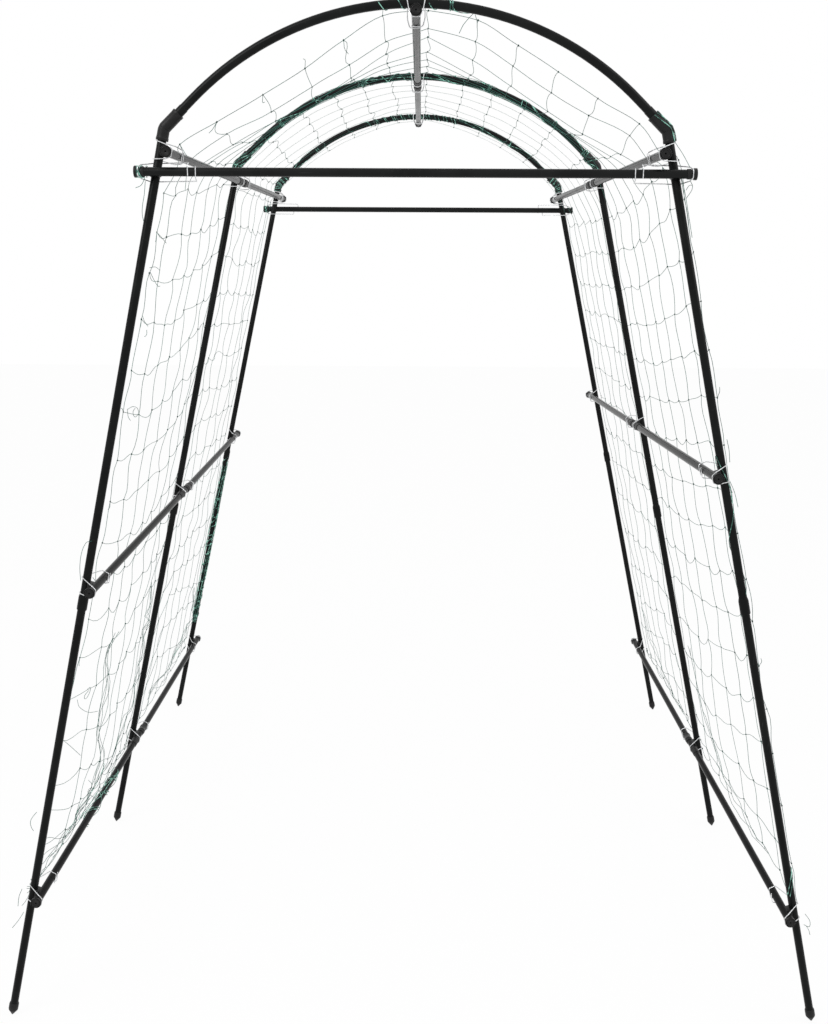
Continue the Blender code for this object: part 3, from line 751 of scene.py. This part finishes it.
# Each side gives, for every row from the shoulder down, its height at some places along the arch,
# and for a few of the rows the places of the sixteen strands that run round the arch.
net = {
    "strand": 0.00050,
    "rearStrand": 0.00031,     # over the rear half of the roof
    "knot": 0.0016,
    "plane": 0.0128,           # from the legs' middle line out to the net
    "belly": 0.004,            # how far it stands further out between the frames
    "overRidge": 0.0113,       # from the ridge rail's middle up to the net
    "underRoof": 0.0100,       # from the roof tubes' middle line down to the net
    "seamOut": 0.0104,         # from the shoulder rail's middle out to the seam
    "seamTurn": 38,
    "wander": {"left": 0.015, "right": 0.011, "roof": 0.008},
    "loose": {"left": 0.016, "right": 0.014, "roof": 0.004, "gathered": 0.030},
    "sag": (0.009, 0.012),     # of the strands along the arch, in the rows down to tautRows and below
    "tautRows": 8,
    "cutEnds": {"side": (0.015, 0.035), "roof": (0.012, 0.030)},
    "stations": (-0.80, -0.60, -0.40, -0.20, 0.0, 0.30, 0.60, 0.87),
    "heights": {
        "left": metres((
        (1676, 1685, 1700, 1716, 1734, 1737, 1734, 1730),
        (1610, 1600, 1610, 1625, 1655, 1645, 1633, 1630),
        (1550, 1511, 1512, 1533, 1572, 1553, 1541, 1541),
        (1455, 1420, 1417, 1437, 1460, 1463, 1448, 1442),
        (1350, 1325, 1320, 1345, 1388, 1374, 1358, 1352),
        (1270, 1235, 1225, 1240, 1282, 1286, 1263, 1258),
        (1180, 1140, 1130, 1150, 1190, 1197, 1170, 1165),
        (1090, 1045, 1030, 1045, 1090, 1100, 1080, 1070), (1010, 950, 935, 945, 980, 1000, 985, 975),
        (925, 870, 855, 860, 880, 900, 885, 875), (840, 800, 773, 785, 795, 810, 790, 780),
        (760, 710, 680, 680, 700, 725, 705, 690), (670, 615, 580, 570, 560, 645, 610, 595),
        (590, 520, 450, 430, 420, 575, 515, 450), (490, 430, 350, 275, 290, 475, 440, 390),
        (440, 335, 265, 238, 238, 380, 310, 258), (365, 272, 244, 230, 226, 270, 245, 228),
        (280, 236, 230, 222, 218, 228, 220, 218))),
        "right": metres((
        (1738, 1716, 1690, 1672, 1668, 1665, 1662, 1660),
        (1666, 1634, 1606, 1586, 1577, 1575, 1572, 1570),
        (1576, 1544, 1516, 1496, 1487, 1485, 1482, 1480),
        (1486, 1454, 1426, 1406, 1397, 1395, 1392, 1390),
        (1396, 1364, 1336, 1316, 1307, 1305, 1302, 1300),
        (1305, 1273, 1245, 1225, 1216, 1210, 1207, 1205),
        (1214, 1182, 1154, 1134, 1125, 1115, 1112, 1110),
        (1127, 1086, 1058, 1037, 1032, 1020, 1008, 1000), (1043, 997, 963, 942, 938, 918, 904, 903),
        (955, 901, 868, 838, 833, 815, 795, 798), (864, 811, 771, 740, 722, 714, 681, 662),
        (780, 716, 671, 627, 606, 622, 574, 534), (686, 623, 569, 527, 512, 524, 460, 428),
        (595, 522, 472, 420, 424, 428, 362, 318), (480, 420, 372, 326, 322, 316, 250, 226),
        (350, 318, 285, 258, 246, 240, 226, 222), (262, 245, 236, 228, 222, 224, 220, 218)))},
    "givenRows": (1, 5, 10, 13, 16),
    "places": {
        "left": metres((
        (-711, -600, -485, -370, -260, -155, -60, 40, 120, 200, 330, 480, 580, 710, 800, 858),
        (-714, -580, -445, -330, -220, -120, -40, 30, 115, 215, 330, 490, 580, 720, 790, 858),
        (-708, -530, -415, -300, -200, -120, -50, 20, 110, 200, 320, 460, 560, 690, 790, 858),
        (-790, -510, -390, -290, -200, -110, -50, 10, 100, 200, 310, 440, 550, 660, 780, 858),
        (-820, -576, -480, -360, -250, -160, -80, 0, 100, 200, 300, 400, 520, 640, 760, 858))),
        "right": metres((
        (-852, -710, -580, -460, -345, -225, -104, -10, 90, 180, 280, 400, 530, 650, 760, 858),
        (-852, -710, -580, -460, -345, -225, -104, -10, 90, 190, 290, 400, 540, 660, 770, 858),
        (-852, -750, -610, -495, -340, -220, -105, 0, 80, 180, 310, 460, 590, 680, 770, 858),
        (-852, -735, -595, -435, -270, -140, -50, 40, 120, 220, 340, 470, 590, 690, 780, 858),
        (-852, -720, -570, -430, -280, -160, -60, 20, 110, 220, 330, 450, 580, 690, 780, 858)))},
    "roofPlaces": metres((
        -792, -675, -590, -475, -365, -260, -155, -50, 60, 160, 270, 385, 500, 615, 730, 846)),
    "roofRows": metres((-437, -367, -281, -203, -132, -61, 22, 112, 186, 260, 334, 412)),
    # heights of the three foremost strands over those rows
    "roofFront": metres((
        (1765, 1805, 1853, 1899, 1948, 1990, 1999, 1983, 1940, 1895, 1849, 1805),
        (1749, 1796, 1838, 1883, 1926, 1966, 1989, 1966, 1924, 1874, 1832, 1795),
        (1742, 1786, 1828, 1872, 1915, 1957, 1988, 1948, 1898, 1852, 1807, 1767))),
    # how far the roof net is drawn up to the arch's curve, from the front to the rear
    "lie": ((-0.80, 0.30), (-0.66, 0.02), (-0.45, 0.10), (0.0, 0.98), (0.435, 0.62), (0.87, 0.72)),
}
columns = range(len(net["roofPlaces"]))
seamTurn = math.radians(net["seamTurn"])
seam = besideLeg(1, 0, shoulderAlong) + Vector((math.cos(seamTurn), 0, math.sin(seamTurn))) * net["seamOut"]
# fixed seeds, so that each run gives the same net
dice = random.Random(4)
noise.seed_set(7)


def roofHeight(across, drop):
    # height under the roof tube's middle line at a distance from the arch's middle
    radius = arch["roofBend"] - drop
    across = abs(across)
    end = radius * math.sin(endAngle)
    middle = apexUp - arch["roofBend"]
    if across <= end:
        return middle + math.sqrt(radius * radius - across * across)
    return middle + radius * math.cos(endAngle) - (across - end) * math.tan(endAngle)


def drift(point, size, seed):
    # a soft wander that neighbouring points share
    wide = noise.noise_vector(point * 7 + Vector((seed, 0, 0)))
    fine = noise.noise_vector(point * 29 + Vector((0, seed, 0)))
    return (wide + fine * 0.5) * size


def sideKnot(sideName, row, column):
    side = arch["sides"][sideName]
    y = between(net["givenRows"], [places[column] for places in net["places"][sideName]], row)
    height = between(net["stations"], net["heights"][sideName][row], y)
    shift = drift(Vector((side, y, height)), net["wander"][sideName], row * 3.1)
    if 0 < column < columns[-1]:
        y += shift.y
    height += shift.z * 0.7
    belly = net["belly"] if 0.2 < height < 1.6 else 0
    lift = abs(shift.x) * 0.6 + belly * abs(math.sin(math.pi * y / arch["spacing"]))
    along = legAlong(height - net["plane"] * math.sin(splay))
    return legPoint(side, y / arch["spacing"], along) + legOut(side) * (net["plane"] + lift)


def roofKnot(row, column):
    x, y = net["roofRows"][row], net["roofPlaces"][column]
    ridge = apexUp - arch["railOffset"] + net["overRidge"]
    chord = ridge + (seam.z - ridge) * abs(x) / seam.x
    full = between(*zip(*net["lie"]), y)
    height = chord + (roofHeight(x, net["underRoof"]) - chord) * full
    if column < len(net["roofFront"]):
        height = net["roofFront"][column][row]
    shift = drift(Vector((x, y, 5)), net["wander"]["roof"], 2.0)
    if abs(x) > 0.05 and 0 < column < columns[-1]:
        height -= abs(shift.z) * 0.8 * (1 - full)
        x += shift.x * 0.6
        y += shift.y
    return Vector((x, y, height))


def seamKnot(sideName, column):
    upper, lower = net["roofPlaces"][column], net["places"][sideName][0][column]
    return Vector((arch["sides"][sideName] * seam.x, (upper + lower) / 2, seam.z))


def runThrough(knots, loose):
    # one strand that runs smoothly through its knots with a gentle wave
    line = [knots[0]]
    for step, (start, end) in enumerate(zip(knots, knots[1:])):
        third = (end - start).length / 3
        before, after = knots[max(step - 1, 0)], knots[min(step + 2, len(knots) - 1)]
        first = (end - before).normalized() * third + drift(start, loose, 11.0 + step)
        last = (after - start).normalized() * third + drift(end, loose, 17.0 + step)
        line += slackLine(start, end, first, last)[1:]
    return line


def bentThrough(knots, side):
    # a lengthwise roof strand, which leaves each knot along the crosswise strand in short S bends
    line = [knots[0]]
    across = Vector((side * 0.8, 0, -0.6)) * (1.0 if side < 0 else 0.55)
    for start, end in zip(knots, knots[1:]):
        reach = end - start
        bend = across * min(1, reach.length / 0.1)
        first = reach * 0.30 + bend * dice.triangular(-0.030, 0.016, -0.012) + drift(start, 0.007, 5.0)
        last = reach * 0.30 + bend * dice.triangular(-0.026, 0.018, -0.008) + drift(end, 0.007, 9.0)
        line += slackLine(start, end, first, last, 7)[1:]
    return line


def hungThrough(knots, sag):
    # one strand that hangs in a shallow, uneven arc between each two knots
    line = [knots[0]]
    for start, end in zip(knots, knots[1:]):
        reach = end - start
        hang = Vector((0, 0, -sag * min(1, reach.length / 0.1)))
        lean = reach * dice.uniform(0.20, 0.42)
        first = lean + hang * dice.triangular(-1.0, 2.8, 0.8) + drift(start, 0.010, 5.0)
        last = lean - hang * dice.triangular(-1.2, 2.4, 0.6) + drift(end, 0.010, 9.0)
        line += slackLine(start, end, first, last)[1:]
    return line


def twine(line, radius=net["strand"], around=6):
    return sweptShape(line, [(0, radius), (lengths(line)[-1], radius)], around)


def knotBeads(shape, spot, way):
    # a sheet bend seen small: two crossed lumps
    size = net["knot"] * dice.uniform(0.85, 1.2)
    turn = upright.rotation_difference(way).to_matrix().to_4x4()
    stretch = Matrix.Diagonal((1.0, 0.9, 1.5, 1))
    for lean in (-0.6, 0.6):
        tilt = Matrix.Rotation(lean + dice.uniform(-0.3, 0.3), 4, "X")
        spin = Matrix.Rotation(dice.uniform(0, 3), 4, "Z")
        bmesh.ops.create_icosphere(shape, subdivisions=1, radius=size,
                                   matrix=Matrix.Translation(spot) @ turn @ tilt @ spin @ stretch)


def cutEnd(spot, way, long):
    # a short loose end left at a knot
    curl = Vector([dice.uniform(-1, 1) for _ in range(3)]) * long * 0.4
    end = spot + way * long + curl * 0.5
    return twine(slackLine(spot, end, way * long * 0.5, way * long * 0.2 + curl, 5))


def finishNet(name, shapes, finish="net", nodes=()):
    finishPiece(name, joined(shapes), finish, nodes, crease=80)


def finishPanel(label, strands, beads):
    finishNet(f"net_strands_{label}", strands, "net", [f"net_{label}"])
    finishNet(f"net_knots_{label}", [beads], "knot", [f"net_{label}"])


def makeSideNet(sideName):
    rows = range(len(net["heights"][sideName]))
    taut, slack = net["sag"]
    knots = [[sideKnot(sideName, row, column) for column in columns] for row in rows]
    beads = bmesh.new()
    strands = []
    for column in columns:
        run = [seamKnot(sideName, column)] + [knots[row][column] for row in rows]
        strands.append(twine(runThrough(run, net["loose"][sideName])))
    for row in rows:
        strands.append(twine(hungThrough(knots[row], slack if row > net["tautRows"] else taut)))
        for knot in knots[row]:
            knotBeads(beads, knot, rearward)
        if row % 2 == 1 and (sideName == "left" or row in (5, 11)):
            way = Vector((0, -0.6, dice.choice((-0.8, 0.6))))
            strands.append(cutEnd(knots[row][0], way, dice.uniform(*net["cutEnds"]["side"])))
    finishPanel(f"side_{sideName}", strands, beads)


def makeRoofNet(sideName):
    side = arch["sides"][sideName]
    knots = [[roofKnot(row, column) for column in columns] for row in range(len(net["roofRows"]))]
    picked = [row for row, x in enumerate(net["roofRows"]) if x * side > 0]
    beads = bmesh.new()
    strands = []
    for column in columns:
        run = [knots[row][column] for row in picked]
        if side < 0:
            run = [seamKnot(sideName, column)] + run + [knots[picked[-1] + 1][column]]
        else:
            run = run + [seamKnot(sideName, column)]
        radius = net["strand"] if run[0].y < 0 else net["rearStrand"]
        strands.append(twine(runThrough(run, net["loose"]["roof"]), radius))
    for row in picked:
        strands.append(twine(bentThrough(knots[row], side)))
        for knot in knots[row]:
            knotBeads(beads, knot, rearward)
        if side < 0:
            way = Vector((dice.uniform(-0.7, 0.7), -0.2, dice.choice((-0.9, 0.9))))
            strands.append(cutEnd(knots[row][0], way, dice.uniform(*net["cutEnds"]["roof"])))
    finishPanel(f"roof_{sideName}", strands, beads)


for sideName in arch["sides"]:
    makeSideNet(sideName)
    makeRoofNet(sideName)
print("net: four panels")


# lashings and loose twine

# Each lashing lists its strands: from and to as shares of the line, turns, looseness, number of strands
# and where the first one starts round the tube, in radians from the outer side.
lashing = {
    "strand": 0.00074,
    "grip": 0.0008,            # how far the twine's middle stands off the tube
    "perTurn": 12,             # points along the twine
    "perMetre": 70,
    "apart": 0.42,             # radians between strands that run together
    "skirtLong": 0.017,        # the wound length on a crossbar's cap
    "railLowerPart": (0.18, 0.36),    # where it lies, as shares of the rail
    "roofMiddle": (
        (0, 0.152, 0.28, 0.0012, 3, 1.5), (0.03, 0.15, 0.25, 0.003, 1, 2.8),
        (0.14, 0.255, 0.55, 0.0008, 1, 0.4), (0.16, 0.376, 0.2, 0.001, 1, 3),
        (0.24, 0.38, 1.1, 0.0008, 1, 1), (0.36, 0.5, 3.2, 0.0008, 1, 0.2), (0.36, 0.5, -2.2, 0.001, 1, 2),
        (0.53, 0.682, 1.1, 0.0012, 2, 0.4), (0.66, 0.86, 1.3, 0.0008, 1, 1.8),
        (0.78, 0.965, 1.2, 0.0008, 1, 0.6), (0, 0.99, 1.2, 0.0008, 1, 4.4),
        (0.14, 0.149, 2.5, 0.001, 1, 0), (0.246, 0.25, 1.2, 0.0004, 1, 0),
        (0.368, 0.375, 2.5, 0.0006, 1, 2), (0.668, 0.68, -2.5, 0.0014, 2, 0),
        (0.763, 0.77, 1.6, 0.0006, 1, 0), (0.853, 0.86, 1.6, 0.0006, 1, 1),
        (0.95, 0.964, 3.2, 0.0016, 2, 0)),
    "roofRear": (
        (0.34, 0.62, 11, 0.0008, 2, 0), (0, 0.34, 0.7, 0.001, 2, 1.2), (0, 0.17, -0.6, 0.0012, 1, 3),
        (0.62, 1, 1, 0.001, 2, 0.5), (0.8, 1, -0.8, 0.001, 1, 2.6), (0.16, 0.168, 2.2, 0.0006, 1, 0),
        (0.7, 0.706, 1.6, 0.0006, 1, 0), (0.8, 0.806, 1.6, 0.0006, 1, 0)),
    "roofFront": (
        (0.435, 0.48, 1.3, 0.0006, 1, 1), (0.52, 0.562, 1.1, 0.0008, 1, 1.6),
        (0.556, 0.562, 1.4, 0.0008, 1, 0.3), (0.56, 0.64, 0.4, 0.001, 1, 2.6)),
    "legRearLeft": (
        (0, 1, 8, 0.0014, 1, 0), (0.05, 0.8, 13, 0.001, 1, 2), (0.05, 0.95, 0.2, 0.005, 3, 5.6),
        (0.02, 0.98, 0.3, 0.0012, 4, 0.9)),
    "elbowMiddleLeft": ((0, 1, 0.2, 0.001, 4, 0.1), (0.3, 0.62, 0.8, 0.0006, 1, 0.5)),
    "legFrontRight": ((0, 1, 1.6, 0.0012, 1, 3), (0, 0.5, -0.8, 0.002, 1, 2.6)),
    "legFrontRightLow": ((0, 1, 0.4, 0.0016, 2, 0.6),),
    "elbowMiddleRight": ((0, 1, -0.3, 0.001, 3, 1.5), (0.1, 0.95, -1.2, 0.0008, 1, 0.5)),
    "elbowRear": ((0, 1, 5, 0.0006, 1, 0), (0, 1, 4.6, 0.0006, 1, 3)),
    "elbowFront": ((0.02, 0.98, -0.1, 0.001, 3, 2.3), (0.02, 0.6, 0.05, 0.0004, 1, 3.1)),
    "capEnd": (
        (0, 1, 0.9, 0.001, 2, 0.4), (0.1, 0.95, -0.8, 0.0008, 1, 2.2), (0, 0.15, 1.6, 0.0006, 1, 0)),
    "railLower": (
        (0, 1, 3.6, 0.003, 2, 0), (0.2, 0.95, -1.5, 0.005, 1, 2), (0.05, 0.9, 0.3, 0.012, 2, 3.6)),
    # places of the ties that hold the net's strand below the middle tube
    "ties": (0.143, 0.25, 0.371, 0.48, 0.59, 0.672, 0.766, 0.856, 0.957),
    "tieBack": 0.004,
    "tieDown": 0.002,
    "tieSag": 0.012,
}


def windOn(line, start, end, turns, tube, phase, rise, seed):
    # twine wound round a tube from one share of its length to another
    run = lengths(line)
    count = max(8, int(abs(turns) * lashing["perTurn"]), int((end - start) * run[-1] * lashing["perMetre"]))
    points = []
    for step in range(count + 1):
        share = start + (end - start) * step / count
        point, way = spotOn(line, run, share * run[-1])
        first = way.cross(rearward if abs(way.y) < 0.9 else upright).normalized()
        second = way.cross(first)
        wobble = noise.noise(Vector((step * 0.09, seed, 0)))
        angle = phase + turns * 2 * math.pi * step / count + wobble * 0.9
        reach = tube + lashing["grip"] + rise * (0.5 + 0.5 * noise.noise(Vector((seed, step * 0.21, 3))))
        points.append(point + (first * math.cos(angle) + second * math.sin(angle)) * reach)
    return points


def lashTube(name, plan, line, tube, seed):
    chance = random.Random(seed)
    wound = []
    for start, end, turns, rise, many, phase in lashing[plan]:
        for strand in range(many):
            begin = max(0, start + chance.uniform(-0.006, 0.006))
            stop = min(1, end + chance.uniform(-0.006, 0.006))
            points = windOn(line, begin, stop, turns * chance.uniform(0.94, 1.06), tube,
                            phase + lashing["apart"] * strand, rise, chance.uniform(0, 50))
            wound.append(twine(points, lashing["strand"], 5))
    finishNet(f"lashing_{name}", wound, "lashing")


def legStretch(side, place, low, high):
    return [legPoint(side, place, low), legPoint(side, place, high)]


def tieBelow(name, place):
    # the net's own strand, tied up to the tube at a few places
    line = roofLine(place)
    run = lengths(line)
    shape = bmesh.new()
    held = []
    for share in lashing["ties"]:
        point, way = spotOn(line, run, share * run[-1])
        below = rearward.cross(way).normalized() * (arch["tube"] + lashing["tieDown"])
        held.append(point + rearward * lashing["tieBack"] - below)
        knotBeads(shape, held[-1], way)
    finishNet(name, [twine(hungThrough(held, lashing["tieSag"])), shape], "lashing")


# piece, plan, the line it is wound on, the radius there and the seed
tube, bent = arch["tube"], elbow["radius"]
for name, plan, line, radius, seed in (
        ("roof_middle", "roofMiddle", roofLine(0), tube, 31),
        ("roof_rear", "roofRear", roofLine(1), tube, 32),
        ("roof_front", "roofFront", roofLine(-1), tube, 33),
        ("leg_rear_left", "legRearLeft", legStretch(-1, 1, 0.31, 0.92), tube, 34),
        ("leg_front_right", "legFrontRight", legStretch(1, -1, 1.23, 0.95), tube, 44),
        ("leg_front_right_low", "legFrontRightLow", legStretch(1, -1, 0.30, 0.36), tube, 45),
        ("elbow_middle_left", "elbowMiddleLeft", elbowLine(-1, 0), bent, 36),
        ("elbow_middle_right", "elbowMiddleRight", elbowLine(1, 0), bent, 37),
        ("elbow_rear_right", "elbowRear", elbowLine(1, 1), bent, 38),
        ("elbow_rear_left", "elbowRear", elbowLine(-1, 1), bent, 39),
        ("elbow_front_right", "elbowFront", elbowLine(1, -1), bent, 40)):
    lashTube(name, plan, line, radius, seed)
tieBelow("net_tied_strand_middle", 0)
for frameName, seed in (("front", 41), ("rear", 42)):
    facing = arch["frames"][frameName]
    onLeg = legPoint(-1, facing, crossbarAlong)
    outer = Vector((onLeg.x - rail["overhang"]["bar"] + rail["flange"],
                    facing * (arch["spacing"] + arch["railOffset"]), onLeg.z))
    skirtEnd = outer + Vector((lashing["skirtLong"], 0, 0))
    lashTube(f"crossbar_{frameName}", "capEnd", [outer, skirtEnd], rail["skirt"], seed)
front, rear = (besideLeg(-1, place, legAlong(height))
               for place, height in zip((-1, 1), rail["lower"]["left"]))
lashed = [front.lerp(rear, share) for share in lashing["railLowerPart"]]
lashTube("rail_lower_left", "railLower", lashed, tube, 43)

# twine that hangs loose: each line is its first point, then the step to every next one, in millimetres
loose = {
    "left": (
        ((-615, -880, 1029), (-11, 0, -3), (-10, 0, -20), (-5, 0, -28), (0, 0, -27)),
        ((-749, -901, 477), (-4, -24, -5), (-2, 3, -14), (-2, 18, -20)),
        ((-725, -791, 586), (-13, 100, -61), (-15, 111, -69)),
        ((-712, -714, 642), (-7, 34, -29), (-12, 105, -55), (-8, 101, -38)),
        ((-716, -615, 625), (-3, -23, -5), (-4, 33, -15), (3, 20, 13), (5, -43, 15)),
        ((-781, -437, 329), (-10, 58, -45), (1, -33, 3), (-18, 112, -72)),
        ((-772, -811, 369), (-6, 61, -26), (-11, 93, -52), (-8, 80, -33)),
        ((-516, -732, 1540), (-1, 56, 1), (0, 41, -7)),
        ((-517, -725, 1532), (-4, 49, -16), (-3, 49, -14), (0, 19, 0)),
        ((-536, -721, 1446), (-2, 20, -10), (-3, 43, -13)),
        ((-543, -662, 1416), (-2, 7, -9), (-1, -15, -4)),
        ((-501, -712, 1605), (-2, 44, -8), (-2, 46, -9)),
        ((-577, -713, 1261), (-4, 21, -18), (-2, 25, -11)),
        ((-577, -713, 1261), (0, 52, -1), (-4, 59, -18), (-1, -25, -8), (2, -28, 13), (1, 15, 7)),
        ((-484, -880, 1694), (-3, 0, -24), (-4, 0, -19), (-1, 0, -15), (2, 0, -12)),
        ((-480, -898, 1700), (-7, -2, -14), (-10, -2, -5)),
        ((-795, -885, 299), (-7, 0, -16), (-4, 0, -23)),
        ((-793, -890, 250), (-13, 0, -20), (-13, 0, -16)),
        ((-468, -552, 1757), (-5, 9, -21), (-8, 15, -39))),
    "right": (
        ((459, -885, 1766), (16, -1, -22), (13, -2, -22)),
        ((489, -890, 1700), (2, 0, -4), (3, 0, -6), (-1, 0, -8), (-9, 0, -14)),
        ((494, -890, 1691), (-6, 0, -1), (-5, 0, -8)),
        ((475, -878, 1706), (2, 0, -9), (4, 0, -17), (7, 0, -30), (8, 2, -40)),
        ((476, -880, 1704), (4, 0, -14), (4, 0, -14), (8, 0, -36), (9, 2, -40)),
        ((583, -890, 1234), (7, 6, -22), (4, 5, -23)), ((601, -860, 1150), (5, -20, -18), (6, -10, -27)),
        ((796, -905, 268), (5, -15, -6), (2, 5, -16), (-4, 20, -8)),
        ((806, -890, 232), (6, 0, -10), (3, 0, -10)), ((100, -862, 1981), (-16, 2, -17), (-8, 2, -15)),
        ((104, -856, 1980), (4, 21, -6), (2, 35, -5))),
}
# strands drawn together near the lower rails: how many, how far they spread and such a line
gathered = {
    "net": (
        (4, 0.030, ((-700, -420, 700), (-22, -10, -100), (-22, 30, -103), (-24, 60, -117), (-20, 40, -85),
            (-8, -80, -31), (-2, -100, -12), (1, -110, 6), (4, -130, 22), (1, -90, 4), (-2, -52, -14))),
        (3, 0.020, ((-700, -40, 700), (-16, -10, -72), (-10, -10, -46), (-22, 20, -102), (-13, -10, -60),
            (-15, -30, -69), (-13, -50, -61), (-7, -110, -28))),
        (3, 0.024, ((-757, 830, 440), (-16, 10, -74), (-11, -30, -52), (-8, -80, -34), (-4, -130, -18),
            (-1, -180, -4), (2, -160, 12))),
        (2, 0.030, ((742, -10, 520), (15, -40, -80), (18, -70, -90), (17, -120, -80), (8, -140, -32),
            (1, -140, -6), (-4, -120, 18))),
        (2, 0.026, ((768, 780, 400), (14, -60, -80), (13, -120, -58), (6, -160, -30), (0, -180, 0)))),
    "lashing": (
        (2, 0.022, ((-786, -290, 305), (-10, -70, -41), (-2, -120, -14), (0, -120, 6), (3, -100, 14))),
        (2, 0.020, ((-784, 820, 314), (-8, -80, -34), (-4, -100, -18)))),
}


def traced(line):
    points = [Vector(line[0])]
    for step in line[1:]:
        points.append(points[-1] + Vector(step))
    return [point / 1000 for point in points]


def makeLoose(sideName):
    finishNet(f"loose_twine_{sideName}", [twine(runThrough(traced(line), 0)) for line in loose[sideName]])


def gatherStrands(finish):
    chance = random.Random(8)
    strands = []
    for many, spread, line in gathered[finish]:
        for strand in range(many):
            moved = []
            for point in traced(line):
                outward = math.copysign(chance.uniform(0, 0.2), point.x)
                push = Vector((outward, chance.uniform(-1, 1), chance.uniform(-0.5, 0.5)))
                moved.append(point + push * spread)
            strands.append(twine(runThrough(moved, net["loose"]["gathered"])))
    finishNet(f"gathered_{finish}", strands, finish)


makeLoose("left")
makeLoose("right")
gatherStrands("net")
gatherStrands("lashing")
print("lashings and loose twine")


# floor, light and camera

room = {
    "floor": 14.0,
    "floorDark": (0.955, 0.955, 0.955),
    "floorLight": (0.975, 0.975, 0.975),
    "floorGlow": 0.945,        # share of plain white that the camera sees
    "worldLevel": 0.72,
    "key": {"at": (-2.6, -3.4, 4.2), "size": 2.6, "power": 70},
    "fill": {"at": (3.2, -1.6, 3.6), "size": 3.0, "power": 34},
    "aim": (0, 0, 1.0),
    "camera": {
        "at": (0.01176, -3.07752, 1.56744), "yaw": -0.005, "pitch": -0.214, "roll": 0.005, "lens": 51.478},
}


def seenBy(start, *rays):
    # 1 for rays of these kinds and 0 for the light that falls on things
    return sum(start.node("ShaderNodeLightPath", output=f"Is {ray} Ray") for ray in rays).clamped()


def makeFloor():
    ground = bmesh.new()
    bmesh.ops.create_grid(ground, x_segments=1, y_segments=1, size=room["floor"])
    mesh = bpy.data.meshes.new("floor")
    ground.to_mesh(mesh)
    ground.free()
    floor = inScene("floor", mesh)
    finish, shader, start, place = newFinish("paleFloor")
    tone = start.grain(place, 3, 4).steps(0.2, 0.8).blended(room["floorDark"], room["floorLight"])
    start.feed(shader.inputs, {"Base Color": tone, "Roughness": 0.85, "Specular IOR Level": 0.1})
    glow = start.node("ShaderNodeEmission", None, {"Color": (1, 1, 1, 1), "Strength": 1.0})
    shared = start.node("ShaderNodeMixShader", None, {
        0: seenBy(start, "Camera", "Glossy") * room["floorGlow"],
        1: Wire(start.tree, shader.outputs[0]), 2: glow})
    start.feed(start.tree.nodes["Material Output"].inputs, {"Surface": shared})
    mesh.materials.append(finish)


def makeWorld():
    world = bpy.data.worlds.new("softStudio")
    bpy.context.scene.world = world
    world.use_nodes = True
    start = Wire(world.node_tree)
    seen = seenBy(start, "Camera", "Glossy", "Transmission")
    level = seen * (1 - room["worldLevel"]) + room["worldLevel"]
    start.feed(start.tree.nodes["Background"].inputs, {"Color": (1, 1, 1, 1), "Strength": level})


def makeLamp(name):
    look = room[name]
    lamp = bpy.data.lights.new(name, "AREA")
    lamp.shape = "DISK"
    lamp.size = look["size"]
    lamp.energy = look["power"]
    at = Vector(look["at"])
    turn = (Vector(room["aim"]) - at).to_track_quat("-Z", "Y").to_matrix().to_4x4()
    inScene(name, lamp).matrix_world = Matrix.Translation(at) @ turn


def makeCamera():
    look = room["camera"]
    yaw, pitch, roll = look["yaw"], look["pitch"], look["roll"]
    ahead = Vector((math.sin(yaw) * math.cos(pitch), math.cos(yaw) * math.cos(pitch), math.sin(pitch)))
    right = Vector((math.cos(yaw), -math.sin(yaw), 0))
    up = right.cross(ahead)
    leant = right * math.cos(roll) + up * math.sin(roll)
    raised = up * math.cos(roll) - right * math.sin(roll)
    camera = inScene("camera", bpy.data.cameras.new("camera"))
    camera.data.lens = look["lens"]
    camera.data.sensor_width = 36
    camera.data.sensor_fit = "HORIZONTAL"
    camera.matrix_world = axes(Vector(look["at"]), leant, raised, -ahead)
    bpy.context.scene.camera = camera


makeFloor()
makeWorld()
makeLamp("key")
makeLamp("fill")
makeCamera()
bpy.context.scene.view_settings.view_transform = "Standard"
print("floor, light and camera are in place")
